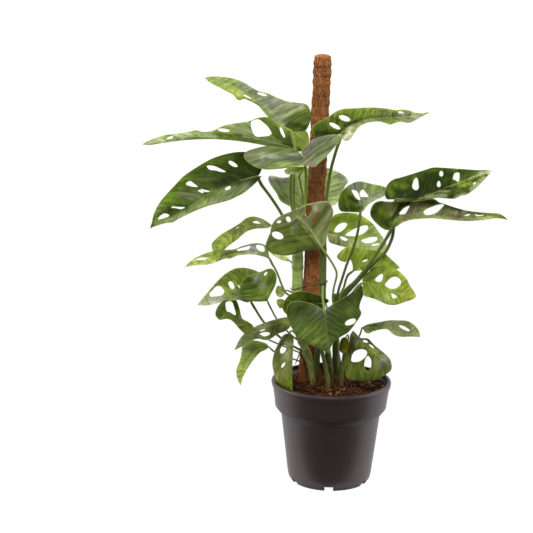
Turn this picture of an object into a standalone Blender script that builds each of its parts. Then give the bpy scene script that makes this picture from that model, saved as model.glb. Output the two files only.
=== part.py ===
"""Potted adansons monstera climbing a coir pole, one mesh object per separate piece.

Lengths are in millimetres until a mesh is made. The origin is the centre of the pot's base,
+Z is up and the front of the plant faces -Y.
"""
import math
import random

import bmesh
import bpy
from mathutils import Vector
from mathutils.bvhtree import BVHTree
from mathutils.geometry import delaunay_2d_cdt

MM = 0.001

# Pot, a 17 cm nursery pot: outer wall as (radius, height) from the foot to the lip
POT_WALL = [(54.5, 0), (58.5, 6), (60.0, 14), (70.2, 98), (71.5, 100.5), (79.0, 110), (80.6, 124),
            (82.4, 136), (84.4, 141.5), (85.0, 145), (83.8, 148)]
POT_LIP_INNER = (80.0, 148)
POT_THICKNESS = 1.6
POT_FLOOR = 3.0
POT_SIDES = 36
DRAIN_COUNT = 6
DRAIN_WIDTH = 12.0
DRAIN_HEIGHT = 7.0
DRAIN_MIDDLE = 51.0
DRAIN_DEPTH = 30.0
FLOOR_HOLE_RADIUS = 5.0
FLOOR_HOLE_CIRCLE = 30.0
FLOOR_HOLE_SIDES = 10
FLOOR_HOLE_SPAN = (-3.0, 8.0)

# Soil
SOIL_FLOOR = 7.5
SOIL_TOP = 135.0
SOIL_MOUND = 5.0
SOIL_GAP = 0.5
STEM_HOLE_GAP = 0.4

# Coir pole on a stake: two points of its axis as (across, down, depth), then heights and radii
POLE_HIGH = (322.8, 57.0, 8.0)
POLE_LOW = (307.0, 380.0, 24.0)
COIR_RADIUS = 11.9
COIR_START = 70.0
COIR_TOP = 601.0
COIR_PITCH = 27.0
COIR_WAIST = 0.7
COIR_CROWN = ((5.0, 11.1), (7.5, 7.9))
COIR_HOLE_GAP = 0.9
COIR_HOLE_TOP = 200.0
STAKE_RADIUS = 5.0
STAKE_START = 12.0
STAKE_TOP = 592.0
STAKE_CLEARANCE = 0.3

# Leaf blade and stalk
BLADE_THICKNESS = 0.7
STALK_SIDES = 5
STEM_SIDES = 7
STEM_STEP = 30.0
STEM_SUNK = 22.0
STEM_DIVE = -0.6
POLE_SIDES = 10
TOUCH_GAP = 0.3
SEAT_REACH = 50.0
SEAT_STEP = 6.0
EDGE_STEP = 9.0
GRID_STEP = 18.0
WAVE_HEIGHT = 1.6
WAVE_LENGTH = 46.0
HOLE_SIDES = 7
RIB_MARGIN = 0.5

# Sight line that outline points were read along: (across, down) in a 533 x 533 frame
EYE = Vector((0.0, -2454.0, 904.5))
EYE_PITCH = math.radians(13.6)
EYE_YAW = math.radians(2.2)
EYE_ROLL = math.radians(0.8)
EYE_FOCAL = 1804.0
EYE_CENTRE = 266.5

# Stems from the soil up, as (across, down, depth in mm, radius in mm)
STEMS = {
    "stem_left": [(313.5, 386, 2, 5.0), (311.5, 368, 0, 5.0), (306.5, 352, 0, 5.2),
                  (301, 338, 3, 6.2), (298, 322, 6, 7.2), (297.5, 290, 8, 7.6),
                  (297.6, 255, 8, 7.6), (297.4, 234, 8, 6.4), (297.2, 214, 8, 4.4)],
    "stem_right": [(322, 386, 2, 4.6), (317, 364, -6, 4.6), (318.5, 346, -8, 4.6),
                   (321, 328, -7, 4.6), (322.5, 300, -6, 4.6), (323.4, 262, -4, 4.4),
                   (323.4, 232, -4, 4.2), (324, 216, -4, 4.0)],
    "stem_front": [(328.5, 388, -18, 3.2), (326.5, 372, -17, 3.1), (323.5, 358, -18, 2.9),
                   (320, 340, -20, 2.6)],
    "stem_mid": [(331.5, 386, -2, 4.6), (330, 366, -4, 4.4), (327, 346, -3, 4.0),
                 (326, 332, -2, 3.6)],
    "stem_back": [(337, 384, 14, 5.2), (336, 360, 11, 5.2), (335.8, 335, 9, 5.0),
                  (335.6, 315, 8, 4.8), (336, 303, 8, 4.4), (336.4, 294, 8, 3.8)],
    "stem_low": [(341, 386, -5, 3.4), (342, 370, -4, 3.3), (345, 354, -2, 3.0),
                 (347.5, 344, 0, 2.6)],
}

# Leaves. rib: (across, down, depth) from stalk to tip. upper and lower: outline points of the two
# halves from stalk to tip. *_fall: (depth per frame unit away from the rib, its growth).
# holes: either (across, down, length, width, turn in degrees) or a list of points around the hole.
# stalk: from the blade back to its stem.
LEAVES = {
    "leaf_top_left": {
        "rib": [(291, 131, -4), (279.6, 124.5, -7), (267, 112.5, -11), (252, 97, -16),
                (234, 86.5, -22), (204.6, 78, -32)],
        "upper": [(298, 131.6), (305.5, 130.5), (310, 122), (311, 113), (306.5, 104.5), (296, 102.5),
                  (286, 101), (276, 97), (267, 93), (257, 90.4), (244, 82.5), (233, 78.5),
                  (219, 76.5), (209, 76.6)],
        "lower": [(284.5, 130), (275, 122.5), (266.5, 115.2), (258.5, 106), (251, 101.5),
                  (244, 98.8), (240, 100.4), (236.5, 98.8), (233, 94.5), (227, 91.5),
                  (218, 86.8), (210, 82.6)],
        "upper_fall": (1.3, 0.0), "lower_fall": (-7.0, 0.35),
        "holes": [(262, 94.2, 10, 2.6, 14), (247, 96.6, 9, 1.8, 27)],
        "stalk": [(293.7, 140, -2), (295.3, 152, 1), (294, 173, 4), (293.4, 198, 6)],
        "root": ("stem_left", 213), "stalk_radius": 2.3},
    "leaf_upper_left": {
        "rib": [(297, 151.5, 16), (288, 147, 14), (269, 141, 8), (243, 136.8, 2), (216, 136, -6),
                (185, 137.3, -14), (160, 141, -20), (142, 144.5, -24)],
        "upper": [(303.5, 151), (308.5, 146), (309, 138), (306.5, 131.5), (298, 127.5),
                  (288, 123.5), (278, 119), (267, 117), (257, 118), (249, 121.2), (236, 123.2),
                  (223.6, 125.6), (213, 130.6), (203, 131.8), (195.5, 130.3), (187, 132.3),
                  (177, 133.6), (165.5, 135), (152, 139.2), (146, 142)],
        "lower": [(287, 149.6), (275, 147.6), (262, 145), (247, 142.3), (230.6, 140.3),
                  (212, 139.2), (190, 139.8), (172, 141.7), (159, 143.6), (150, 145)],
        "upper_fall": (1.7, 0.0), "lower_fall": (-1.5, 0.0),
        "holes": [[(251, 122), (254.6, 120), (259, 119.4), (263.4, 122.6), (268, 127),
                  (271.4, 133), (269, 135.6), (263, 136.5), (257, 136.6), (253.6, 134),
                  (251.4, 128)], (223.7, 130.2, 12, 3.2, 6), (170, 137.8, 7, 2.6, -15),
                  (282.3, 132.4, 11.5, 3, 66)],
        "stalk": [(297.5, 157, 17), (293, 168, 17), (290.4, 182, 16), (291, 203, 14)],
        "root": ("stem_left", 218), "stalk_radius": 2.2},
    "leaf_crown_front": {
        "rib": [(300.8, 153.7, -25), (305, 158, -37), (310, 162.4, -51), (316, 166.5, -65)],
        "upper": [(302.7, 150.6), (307, 145), (313.4, 139.5), (325.7, 135.6), (335, 134.6),
                  (342.5, 135.8), (341.5, 140), (335.6, 146), (326.4, 156.4), (319.5, 163)],
        "lower": [(295.8, 150.6), (283.6, 147.8), (273, 146.3), (263.7, 146.4), (248.4, 150.6),
                  (243.8, 156), (250, 163.6), (260, 168.6), (270, 169.6), (285, 168.2),
                  (303.5, 165.6), (310, 167)],
        "upper_fall": (0.1, 0.0), "lower_fall": (-2.7, 0.0),
        "stalk": [(303.5, 160, -20), (306, 172, -14), (305.6, 195, -6), (303.6, 214, -2)],
        "root": ("stem_left", 228), "stalk_radius": 2.6},
    "leaf_under_crown": {
        "rib": [(307, 168.6, -4), (298, 170.4, -9), (290, 171.4, -13), (284, 170.6, -16)],
        "upper": [(304, 166.6), (296, 166.8), (289, 167.4)],
        "lower": [(304, 171.4), (297, 173.8), (291, 174.6), (286, 173.8)],
        "upper_fall": (-2.0, 0.0), "lower_fall": (-2.0, 0.0),
        "stalk": [(299.4, 175, 2), (300.6, 184, 5), (302.6, 196, 8), (302.2, 208, 9)],
        "root": ("stem_left", 222), "stalk_radius": 1.5},
    "leaf_top_right": {
        "rib": [(342, 133.4, -20), (349, 126.6, -21), (357, 122, -23), (368, 119.2, -25),
                (380, 118.2, -27), (395, 117.8, -31), (410, 116.4, -35), (430, 112, -40)],
        "upper": [(335, 135.2), (325, 136.4), (316, 136.6), (312.3, 131.5), (313, 125.6),
                  (320, 121.6), (327, 117.6), (335, 112), (343, 108.8), (357, 108), (371, 107.3),
                  (385.7, 108.3), (395, 109.8), (405, 109.4), (415, 112.2), (423, 113.2)],
        "lower": [(342.6, 138.4), (346, 140.8), (350.4, 139), (353.8, 134), (358, 128.2),
                  (364, 123.8), (372, 121.9), (379.5, 121.6), (385, 123), (390, 124.6),
                  (396, 122.6), (401, 121.9), (408, 122.8), (413, 121.6), (420, 117.6)],
        "upper_fall": (0.12, 0.0), "lower_fall": (-4.0, 0.0),
        "holes": [(334.8, 125.9, 12, 4, 28), (344.6, 118.2, 11.5, 5, 20),
                  (400.6, 112.2, 5.5, 1.7, 8)],
        "stalk": [(339.5, 141, -21), (335.7, 152, -18), (330.4, 172, -14), (326.8, 196, -10)],
        "root": ("stem_right", 218), "stalk_radius": 2.4},
    "leaf_left_large": {
        "rib": [(257.9, 176.4, -8), (238, 181.2, -14), (216, 190, -20), (202.5, 197.6, -24),
                (184.6, 209.2, -30), (169.5, 218.4, -35), (149.8, 228.4, -40)],
        "upper": [(261, 171.5), (262, 166), (258.5, 159), (252, 154), (246, 152), (233, 152.5),
                  (216, 157), (202.5, 163.6), (184.6, 175.4), (176.6, 183.4), (161, 200.7),
                  (154, 213.5), (151.8, 222.5)],
        "lower": [(263.4, 173), (257.6, 181), (245.4, 191.8), (236, 197), (227.5, 200.7),
                  (208, 206), (193.6, 211.6), (179, 218.6), (173, 222.2), (165, 223.2),
                  (157, 225.6)],
        "upper_fall": (1.2, 0.0), "lower_fall": (-2.4, 0.0),
        "holes": [[(228.4, 161.6), (230.2, 160.8), (232.6, 161.6), (236, 164),
                  (237.6, 166.2), (236, 167), (232.4, 166), (229.6, 164)], [(206.8, 166.2),
                  (210, 165.4), (214.5, 166.2), (220, 168.6), (225.6, 171.6), (221.6, 172),
                  (215, 170.4), (209.6, 169.6)], [(186, 183.6), (188, 181.6), (190.8, 181.2),
                  (194, 183.6), (197.6, 186.6), (194, 186.8), (190, 186), (187, 185)],
                  [(198, 190.4), (200.4, 189.8), (203.8, 191.9), (202.6, 193), (199.8, 192)],
                  [(201, 188.8), (204.6, 189.8), (209.6, 191.2), (206.4, 192), (203, 190.8)],
                  [(171.4, 207.6), (173, 206.4), (177, 206.8), (185, 207.3), (181, 209.1),
                  (176, 208.2)], [(158, 218.6), (161, 215.2), (164.6, 213.4), (168.6, 214.6),
                  (168.6, 216.4), (164, 218.2), (159.6, 219.3)], [(224.8, 189.4), (226.6, 187.2),
                  (230, 186), (230.8, 187.8), (229, 189.6), (226, 190.2)]],
        "stalk": [(261, 184, -6), (271.3, 198, 0), (281.5, 214, 7), (286, 226, 11)],
        "root": ("stem_left", 240), "stalk_radius": 2.3},
    "leaf_behind_pole": {
        "rib": [(309, 206, 46), (311, 196, 49), (314, 182, 52), (317, 169, 53)],
        "upper": [(300, 209), (290.5, 206.5), (280.5, 201), (276.5, 193.5), (270, 184),
                  (268.3, 177.5), (272, 175.6), (285, 177.6), (297, 173), (308, 168.6)],
        "lower": [(320, 209), (332.5, 205.6), (337.4, 202.4), (342.7, 193.5), (344.5, 187),
                  (348, 181), (343, 174.6), (332.5, 169.4), (324, 167.4)],
        "upper_fall": (-0.25, 0.0), "lower_fall": (-0.25, 0.0),
        "stalk": [(305, 213, 38), (299.5, 220, 24)],
        "root": ("stem_left", 226)},
    "leaf_centre": {
        "rib": [(322, 248.6, -26), (316, 239, -28), (310, 230.6, -30), (303, 222.4, -32),
                (297, 217.6, -33), (290, 223.8, -35), (281, 227, -37), (273, 230, -40),
                (265, 246.5, -46)],
        "upper": [(325.6, 243), (328.4, 231), (332, 219), (333.2, 211), (330, 204), (326.5, 201),
                  (313.8, 202.6), (306, 204.5), (299.7, 207.6), (292, 211), (283, 214.7),
                  (275.5, 219.5), (271.6, 226), (270, 233), (267, 240)],
        "lower": [(318, 249.3), (307.4, 250.4), (294.6, 254), (287, 255.5), (280.6, 255),
                  (274, 254), (269, 251.5)],
        "upper_fall": (-0.2, 0.0), "lower_fall": (0.25, 0.0),
        "holes": [(288.4, 219.2, 6, 4.4, 60), (279, 221.7, 4.6, 2.6, -10),
                  [(305, 207.4), (308, 205.8), (311, 205.6), (312.2, 209), (310.4, 213),
                  (307.6, 216.4), (305.6, 215.6)], (277.6, 235.4, 12, 7, 22)],
        "stalk": [(326, 253.6, -24), (334.4, 267, -16), (336.7, 275, -13), (333.6, 289, -7),
                  (332.8, 300, -2)],
        "root": ("stem_back", 309), "stalk_radius": 1.6},
    "leaf_left_arched": {
        "rib": [(271.8, 225.3, -6), (256.5, 224.6, -13), (243.5, 226.3, -21), (232, 232, -29),
                (224, 242, -37), (217.5, 262, -47)],
        "upper": [(267, 221.6), (261, 218.4), (253.5, 216.5), (246, 218.4), (240.5, 222.8),
                  (233, 227.6), (221, 234.6), (213, 242), (211.7, 246), (213.4, 253), (215.6, 259)],
        "lower": [(268, 227.9), (255, 228.8), (246, 232), (236.6, 240), (227, 247), (221.5, 254)],
        "upper_fall": (1.6, 0.0), "lower_fall": (-2.5, 0.0),
        "holes": [[(252.6, 222.4), (255, 220.9), (258, 221.4), (260.4, 223.4),
                  (256.6, 223.6)], (237.4, 228, 4, 1.3, -28)],
        "stalk": [(277, 226, -6), (284, 225.4, -5)],
        "root": ("stem_left", 224)},
    "leaf_left_narrow": {
        "rib": [(269.5, 258.4, -10), (262, 253.6, -12), (252.7, 251.9, -14), (243.5, 252.4, -16),
                (234, 253.4, -18), (222, 256.2, -21), (208, 261, -24), (195, 263, -27),
                (185, 267, -30)],
        "upper": [(268, 250.5), (265, 245), (257, 243.2), (249, 244.2), (241, 246.6),
                  (233.6, 249.4), (222, 250), (213, 251), (204, 254), (195, 258), (189, 262.6)],
        "lower": [(264, 256.6), (252.7, 254.3), (243.5, 254.7), (237, 255.6), (231, 258.4),
                  (226, 258.4), (220, 260.4), (213.7, 263), (205, 264.8), (198, 264.9),
                  (191, 265.8)],
        "upper_fall": (2.0, 0.0), "lower_fall": (-6.0, 0.0),
        "holes": [[(236.5, 249.8), (240, 248.2), (245, 246.9), (250.2, 245.8),
                  (249.8, 248.2), (247.2, 249.8), (242, 250.6), (238, 250.9)], [(256, 245.4),
                  (260, 244.9), (264, 246.6), (264.6, 250.6), (262.4, 252), (258.8, 250.6),
                  (256.6, 248.4)], [(194.8, 259.4), (199, 258), (204, 257.3), (208.2, 258.1),
                  (204.6, 259.6), (198.6, 260.2)]],
        "stalk": [(272, 263.5, -10), (276.8, 272, -8), (282, 285.5, -4), (286, 293, -1)],
        "root": ("stem_left", 299), "stalk_radius": 1.6},
    "leaf_mid_left": {
        "rib": [(250.5, 300.6, 4), (246.5, 296.4, 1), (240, 294.4, -2), (228, 297, -8),
                (213, 301.3, -16), (197.3, 305, -24)],
        "upper": [(257, 298.5), (263, 291), (264, 281), (259, 272.6), (251, 269), (242.8, 267.7),
                  (234.4, 268.8), (224.4, 274.5), (215, 283.7), (209, 290.6), (203, 297.6)],
        "lower": [(248, 302.4), (244, 301.6), (238.5, 299.8), (232, 300.6), (226, 300.4),
                  (219, 302.6), (212, 304.4), (204, 305.4)],
        "upper_fall": (1.3, 0.0), "lower_fall": (-3.0, 0.0),
        "holes": [[(209.6, 293.4), (212.4, 290.2), (216, 286.6), (219.6, 285.9),
                  (222.8, 288.4), (224.2, 292), (221.6, 295.4), (216, 296.4), (210.6, 296.6)],
                  [(228.2, 283), (229.8, 281.2), (232, 282), (234.3, 286), (233.8, 288.6),
                  (231.6, 288.8), (229.4, 286.2)], (239, 286.4, 4, 1.2, 60)],
        "stalk": [(254, 307, 5), (265, 323.5, 8), (281, 338, 10), (293, 346, 10)],
        "root": ("stem_left", 352), "stalk_radius": 1.8},
    "leaf_mid_left_front": {
        "rib": [(267.3, 301, -8), (262.5, 290, -13), (257, 282, -18), (250, 275.5, -24)],
        "upper": [(271, 293.6), (275.3, 285), (276.6, 276), (273, 269.4), (268, 268.8),
                  (262.5, 271), (256.5, 273)],
        "lower": [(258, 301.6), (247, 300.6), (241, 296.5), (239.5, 290), (241.5, 282.5),
                  (245.5, 277)],
        "upper_fall": (0.8, 0.0), "lower_fall": (-0.4, 0.0),
        "holes": [(265.6, 273.6, 4.6, 2.2, -50)],
        "stalk": [(271, 308.5, 0), (277.2, 319.6, 9), (288, 332, 13)],
        "root": ("stem_left", 341), "stalk_radius": 1.3},
    "leaf_curled": {
        "rib": [(256, 332, 11), (245, 323, 9), (235, 316, 7), (226, 312.4, 4), (219.5, 320, 1)],
        "upper": [(252.5, 325), (247, 321.2), (242, 318), (239.6, 309), (237, 301.5),
                  (233.5, 297.8), (227.5, 297), (221, 302.5), (216.5, 309), (215.6, 315.5)],
        "lower": [(252, 333.4), (245, 333.6), (239, 328.4), (233.5, 322), (228, 319)],
        "upper_fall": (1.0, 0.0), "lower_fall": (-2.0, 0.0),
        "holes": [[(225.5, 303.6), (227.4, 301.6), (230.2, 301.3), (232.6, 302.8),
                  (234.2, 307.6), (235.8, 313.2), (235, 315.2), (231, 313), (226.8, 311)]],
        "stalk": [(262, 336.5, 10), (276, 343, 13), (292, 349.5, 14)],
        "root": ("stem_left", 356)},
    "leaf_draped": {
        "rib": [(289, 320.5, -10), (277, 323.4, -15), (264, 327.2, -21), (252, 333.4, -27),
                (243, 341, -32), (234.4, 350.3, -37)],
        "upper": [(287, 317.2), (277, 319), (266, 322.3), (255, 326.8), (245, 333), (239, 340.4)],
        "lower": [(291, 325), (286, 330.8), (278, 333.8), (271, 338.6), (265, 340.2),
                  (258.5, 338.8), (252, 340.4), (245, 344.6), (239, 348)],
        "upper_fall": (3.0, 0.0), "lower_fall": (-1.8, 0.0),
        "holes": [(264.4, 334.3, 11, 4.2, -8), (262.4, 330.2, 6, 1.2, -16)],
        "stalk": [(291.5, 322, -5)],
        "root": ("stem_left", 331)},
    "leaf_hanging": {
        "rib": [(269, 347, -1), (260, 348.4, -8), (250.5, 356, -15), (243.6, 370, -22),
                (240.7, 385.3, -28)],
        "upper": [(266, 343.4), (256, 340.6), (247, 340.6), (242, 343.4), (241.8, 350),
                  (240, 360), (236.4, 370), (237.4, 378.5)],
        "lower": [(265.5, 349.8), (259.4, 353), (250.8, 363.5), (243.6, 375.5), (241.8, 381)],
        "upper_fall": (1.0, 0.0), "lower_fall": (-1.6, 0.0),
        "stalk": [(275, 352, 7), (288, 357, 9), (299, 361, 10)],
        "root": ("stem_left", 366)},
    "leaf_rim_left": {
        "rib": [(289, 333.4, -16), (288.6, 348, -24), (287, 363, -33), (287.5, 377, -40),
                (292.4, 391, -44)],
        "upper": [(283.5, 335), (278, 344), (274, 353.6), (272.3, 363.5), (274, 373),
                  (275.8, 380.5), (279.4, 386), (286, 389.4)],
        "lower": [(293.4, 336.5), (293.3, 346), (292.6, 360), (292, 374), (292.3, 384)],
        "upper_fall": (2.15, 0.0), "lower_fall": (-1.6, 0.0),
        "holes": [(283.2, 349.3, 9, 5.6, -62), (283.2, 365, 6.2, 2.6, -52)],
        "stalk": [(292.4, 331, -9)],
        "root": ("stem_left", 337)},
    "leaf_heart_front": {
        "rib": [(324.4, 310.6, -46), (326, 325, -55), (328, 340, -62), (329.7, 353.4, -68)],
        "upper": [(321, 308.5), (313.7, 304.4), (305, 302), (297.6, 301), (291.5, 302),
                  (287.3, 306.7), (286.8, 316), (290, 325), (296.8, 335.8), (303, 342),
                  (314.4, 346.5), (323, 350.4)],
        "lower": [(327.8, 307.5), (338, 300.6), (346.6, 296), (356.5, 288.4), (361.5, 285.3),
                  (363.8, 293), (360.6, 302), (359.6, 308), (361.4, 313), (358.6, 319),
                  (353, 327), (347.5, 333), (343, 335.6), (335, 341), (331, 347)],
        "upper_fall": (-0.1, 0.0), "lower_fall": (0.35, 0.0),
        "holes": [(312.5, 339.6, 2.2, 1.6, 0), (350.4, 321.9, 11.5, 5.4, -24)],
        "stalk": [(323.8, 305.4, -33), (322.6, 297, -20)],
        "root": ("stem_right", 284), "stalk_radius": 2.0},
    "leaf_dark_back": {
        "rib": [(326, 304, -15), (313, 303, -16), (298, 305, -18), (284, 312, -22)],
        "upper": [(329, 300.5), (323, 296.8), (316.7, 294.4), (307.5, 291.8), (299, 291.2),
                  (290, 294.5), (285, 300), (282.3, 307)],
        "lower": [(322, 311), (312, 317), (300, 319), (290, 317)],
        "upper_fall": (0.35, 0.0), "lower_fall": (-0.3, 0.0),
        "stalk": [(326.8, 309.5, -14.5)],
        "root": ("stem_right", 323)},
    "leaf_right_low": {
        "rib": [(362, 327.6, -8), (374, 326.9, -13), (386, 326, -18), (394, 329.6, -21),
                (404, 333.2, -25), (412, 334.8, -28), (420, 337, -32)],
        "upper": [(367, 324.6), (374.6, 323), (383, 321.4), (390.6, 320.2), (399, 320.4),
                  (406.5, 320.8), (412, 323.4), (416.5, 327.4), (419.6, 332.4)],
        "lower": [(363.5, 330), (366, 332.8), (369.5, 333.2), (374, 331), (384, 329),
                  (388.5, 330), (392, 333.2), (396, 335.6), (402, 336.8), (412, 336.6)],
        "upper_fall": (2.4, 0.0), "lower_fall": (-4.0, 0.0),
        "holes": [(404.4, 328.2, 12, 3.2, 27)],
        "stalk": [(359.8, 335, -3), (354, 343, 2), (349.5, 350, 5)],
        "root": ("stem_low", 356)},
    "leaf_rim_right": {
        "rib": [(351, 334, -14), (358, 339.2, -21), (366, 346, -30), (378, 355.6, -40),
                (392, 366.5, -50)],
        "upper": [(353, 330.8), (357, 334.6), (361, 338), (368, 338.6), (374.6, 345.2),
                  (384, 353), (389.8, 359)],
        "lower": [(349, 342), (347, 352), (345.4, 360), (345.2, 369), (346.4, 377), (350, 380),
                  (357, 380.9), (365.7, 381.4), (373, 380.6), (380, 378), (386.5, 374),
                  (390.8, 370.5)],
        "upper_fall": (3.2, 0.0), "lower_fall": (0.3, 0.0),
        "holes": [(365.4, 341.4, 5, 2.6, 12), (371.6, 346.4, 6.5, 1.8, 38),
                  [(351.4, 361), (352.2, 355), (355.4, 351), (361, 349.2), (366, 350.4),
                  (367, 354), (364, 358.2), (359.6, 361.2), (355, 362)], [(364.4, 367),
                  (364.8, 361), (367.6, 356), (370.6, 358.6), (371.4, 364), (370, 369.4),
                  (366.6, 370.8)]],
        "stalk": [(350.4, 339, -8), (349.6, 345, -5)],
        "root": ("stem_low", 350)},
    "leaf_small_right": {
        "rib": [(346, 337, -18), (343.5, 345, -21), (342.5, 353.5, -24)],
        "upper": [(342, 338), (339.4, 344), (339.4, 350.5)],
        "lower": [(348.5, 340), (348.6, 346), (346.4, 351.5)],
        "upper_fall": (0.6, 0.0), "lower_fall": (-0.8, 0.0),
        "stalk": [(347.5, 335, -12), (348.6, 338, -6)],
        "root": ("stem_low", 345)},
    "leaf_right_back": {
        "rib": [(327, 231.6, 31), (340, 234.8, 29), (352, 238.5, 27), (362, 243, 25),
                (374, 247.8, 22), (387, 252, 18)],
        "upper": [(328.6, 224), (333, 216.4), (338, 213.6), (346.7, 212.6), (357.4, 213.8),
                  (365, 217.6), (372.8, 223.7), (379, 232), (384, 239), (387, 246)],
        "lower": [(329, 241.4), (335, 244.4), (346.7, 247.6), (357, 249.6), (368, 252),
                  (378, 253)],
        "upper_fall": (0.9, 0.0), "lower_fall": (-0.5, 0.0),
        "holes": [[(334.4, 231.6), (335, 228.6), (338, 225), (342, 223), (346.4, 223),
                  (346.6, 226), (343, 230), (338.6, 232.4)], [(345.4, 235.2), (349, 232),
                  (353.6, 229.2), (360, 226.6), (366, 225.2), (368.2, 227.2), (366, 231.4),
                  (361, 234.6), (353, 236.2)], [(361, 240.6), (365, 238.8), (371, 237),
                  (377, 237.2), (376.6, 240.4), (371, 242.8), (365, 243)], [(340, 236.6),
                  (344, 237), (348, 239.6), (345.6, 240.8), (342, 239.6)], [(371, 245.2),
                  (375, 243.6), (380, 243.4), (376, 245.6)]],
        "stalk": [(325.6, 236, 21), (325, 243, 10)],
        "root": ("stem_right", 250)},
    "leaf_right_small": {
        "rib": [(360.4, 212.5, -4), (362, 204.5, -3), (369, 198.2, -2), (378, 194.6, 0),
                (388, 191.6, 2)],
        "upper": [(350, 212), (340.5, 210.8), (338.3, 202), (342.6, 191), (350.7, 184.2),
                  (359.8, 181.4), (371, 183.8), (380, 185.6), (386, 187.6)],
        "lower": [(363.6, 210.5), (368.2, 204.6), (376, 199.8), (384, 196)],
        "upper_fall": (1.0, 0.0), "lower_fall": (-2.0, 0.0),
        "holes": [[(351.6, 190.4), (354.4, 190), (357.4, 191.8), (359.2, 196),
                  (360.4, 199.2), (358.6, 199.8), (355.6, 197.2)], [(360.2, 196.2), (360.2, 192),
                  (362.6, 189.4), (365.4, 192), (368.4, 196.4), (364, 196.9)]],
        "stalk": [(359.6, 219, -8), (358, 230.6, -8), (354, 246, -6), (346.6, 265, -3),
                  (341.6, 280.4, 0), (338.8, 289, 1)],
        "root": ("stem_back", 299), "stalk_radius": 2.0},
    "leaf_right_upper": {
        "rib": [(396, 199.6, -32), (410, 199.2, -35), (424, 197.4, -38), (445, 188, -42),
                (468, 178.7, -46), (492, 171, -50)],
        "upper": [(388, 199.8), (384.8, 195), (386.3, 186.7), (392, 180.2), (401, 177.4),
                  (410.4, 174.5), (419, 171.8), (427.6, 169), (434, 167.4), (445, 167.8),
                  (462, 169), (477, 170), (486, 169.8)],
        "lower": [(405, 201.2), (415, 201), (424, 200.2), (430, 199.2), (437, 197.8),
                  (446, 198.4), (455, 198.6), (461, 195.6), (466, 194.8), (472, 191),
                  (477, 187), (484, 180), (489, 174.4)],
        "upper_fall": (1.2, 0.0), "lower_fall": (-2.4, 0.0),
        "holes": [[(412.4, 187.4), (413.2, 182), (415.4, 178), (417.4, 178.4),
                  (418.4, 183), (418.4, 188.4), (415.6, 190.2)], [(439.6, 175), (439.8, 171.8),
                  (441.4, 171), (443, 172.6), (442.8, 175.8), (441, 176.4)], [(437, 185),
                  (437.8, 181.8), (439.2, 181), (440.6, 184), (440.2, 186.4), (438.2, 187)],
                  [(453, 179), (454.2, 174), (456, 172.8), (459.2, 173), (459.4, 178),
                  (458.4, 181.8), (455.4, 180)], [(472.8, 184), (474.2, 182.4), (476.2, 182),
                  (475.4, 183.9), (474, 184.8)]],
        "stalk": [(396, 198.6, -21), (395.6, 199.2, -8), (395, 204, 3), (394.2, 216, 6),
                  (393, 234, 2), (388.8, 246, -5), (382.7, 255.4, -10), (371, 266, -11),
                  (359.7, 279, -6), (347.5, 292.6, 3)],
        "root": ("stem_back", 304), "stalk_radius": 2.5},
    "leaf_right_long": {
        "rib": [(391, 229.6, -28), (396, 222.5, -29), (404, 218.4, -31), (418, 216.2, -34),
                (431, 215.4, -37), (450, 216.8, -41), (470, 217.8, -45), (490, 216.2, -49),
                (508, 219.5, -52)],
        "upper": [(386, 230), (380.5, 227), (372.5, 219), (370.2, 212), (373.6, 204), (380, 201),
                    (387, 201.6), (398, 201.2), (410, 198.4), (424, 197.2), (434.6, 199.2), (439, 202.2),
                  (444.8, 204), (456, 207.8), (468, 210.8), (480, 212.3), (490, 213), (500, 214)],
        "lower": [(397.4, 226), (402, 222.8), (410, 220), (420, 218.8), (431, 218.1),
                  (445, 219.4), (462, 220.9), (474, 220.7), (485, 219.8), (497, 218.2)],
        "upper_fall": (1.0, 0.0), "lower_fall": (-7.0, 0.0),
        "holes": [[(399.2, 213.6), (402, 210), (405.6, 207.2), (409.4, 205.8),
                  (407.8, 209.6), (405.4, 213.4), (402, 214.4)], [(423.4, 212.6), (425.4, 209.8),
                  (430, 207.6), (436, 205.3), (441, 204.3), (444.2, 205), (441, 208.4),
                  (437, 212.2), (431.6, 214.6), (426, 214.9)], [(464.4, 215.6), (467.4, 214.2),
                  (470.6, 214.2), (468, 215.7)], [(474.6, 214.4), (479, 215), (484.4, 214.6),
                  (481, 215.9), (477, 216.1)]],
        "stalk": [(387.4, 236.7, -25), (376.6, 253.6, -22), (369.7, 263.5, -21), (356, 280.6, -16),
                  (344.4, 292, -7)],
        "root": ("stem_back", 310), "stalk_radius": 2.5},
    "leaf_lime_back": {
        "rib": [(352.5, 271.5, 5), (359, 266.5, 3), (368, 262, 1), (382, 260.6, -2),
                (400, 268, -6)],
        "upper": [(352.6, 265), (350, 259.4), (345, 262), (339.5, 260), (337, 256.2),
                  (340.6, 251.2), (346.7, 247), (356, 247.3), (363.6, 248.3), (374, 250),
                  (383.5, 252.5), (391, 259), (397, 264.4)],
        "lower": [(360, 270.4), (370, 270), (382, 269.5), (392, 270)],
        "upper_fall": (0.1, 0.0), "lower_fall": (-0.4, 0.0),
        "holes": [[(362.4, 262), (364, 260.2), (367.6, 259.2), (366.2, 261.2)]],
        "stalk": [(348.4, 274.6, 8), (346, 279.4, 11), (343.6, 288, 14)],
        "root": ("stem_back", 300), "stalk_radius": 1.8},
    "leaf_lime_front": {
        "rib": [(362.8, 283, -16), (370, 282.6, -18), (379, 284.4, -20), (389, 290.4, -23),
                (400, 293.4, -26), (416, 296.8, -30)],
        "upper": [(362.6, 278), (367.4, 272.8), (373.5, 268), (382.7, 265.6), (390.4, 266.8),
                  (398, 270.4), (405.7, 277.6), (410.3, 286), (415, 293)],
        "lower": [(362.6, 290), (364, 295.7), (369.7, 297.4), (377.3, 300), (385, 303.6),
                  (390, 304.9), (396.5, 304.7), (405.7, 301.7), (412.5, 299.4)],
        "upper_fall": (0.7, 0.0), "lower_fall": (-1.0, 0.0),
        "holes": [[(375, 280), (377, 277), (380.4, 274.2), (382.8, 274.4),
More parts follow.
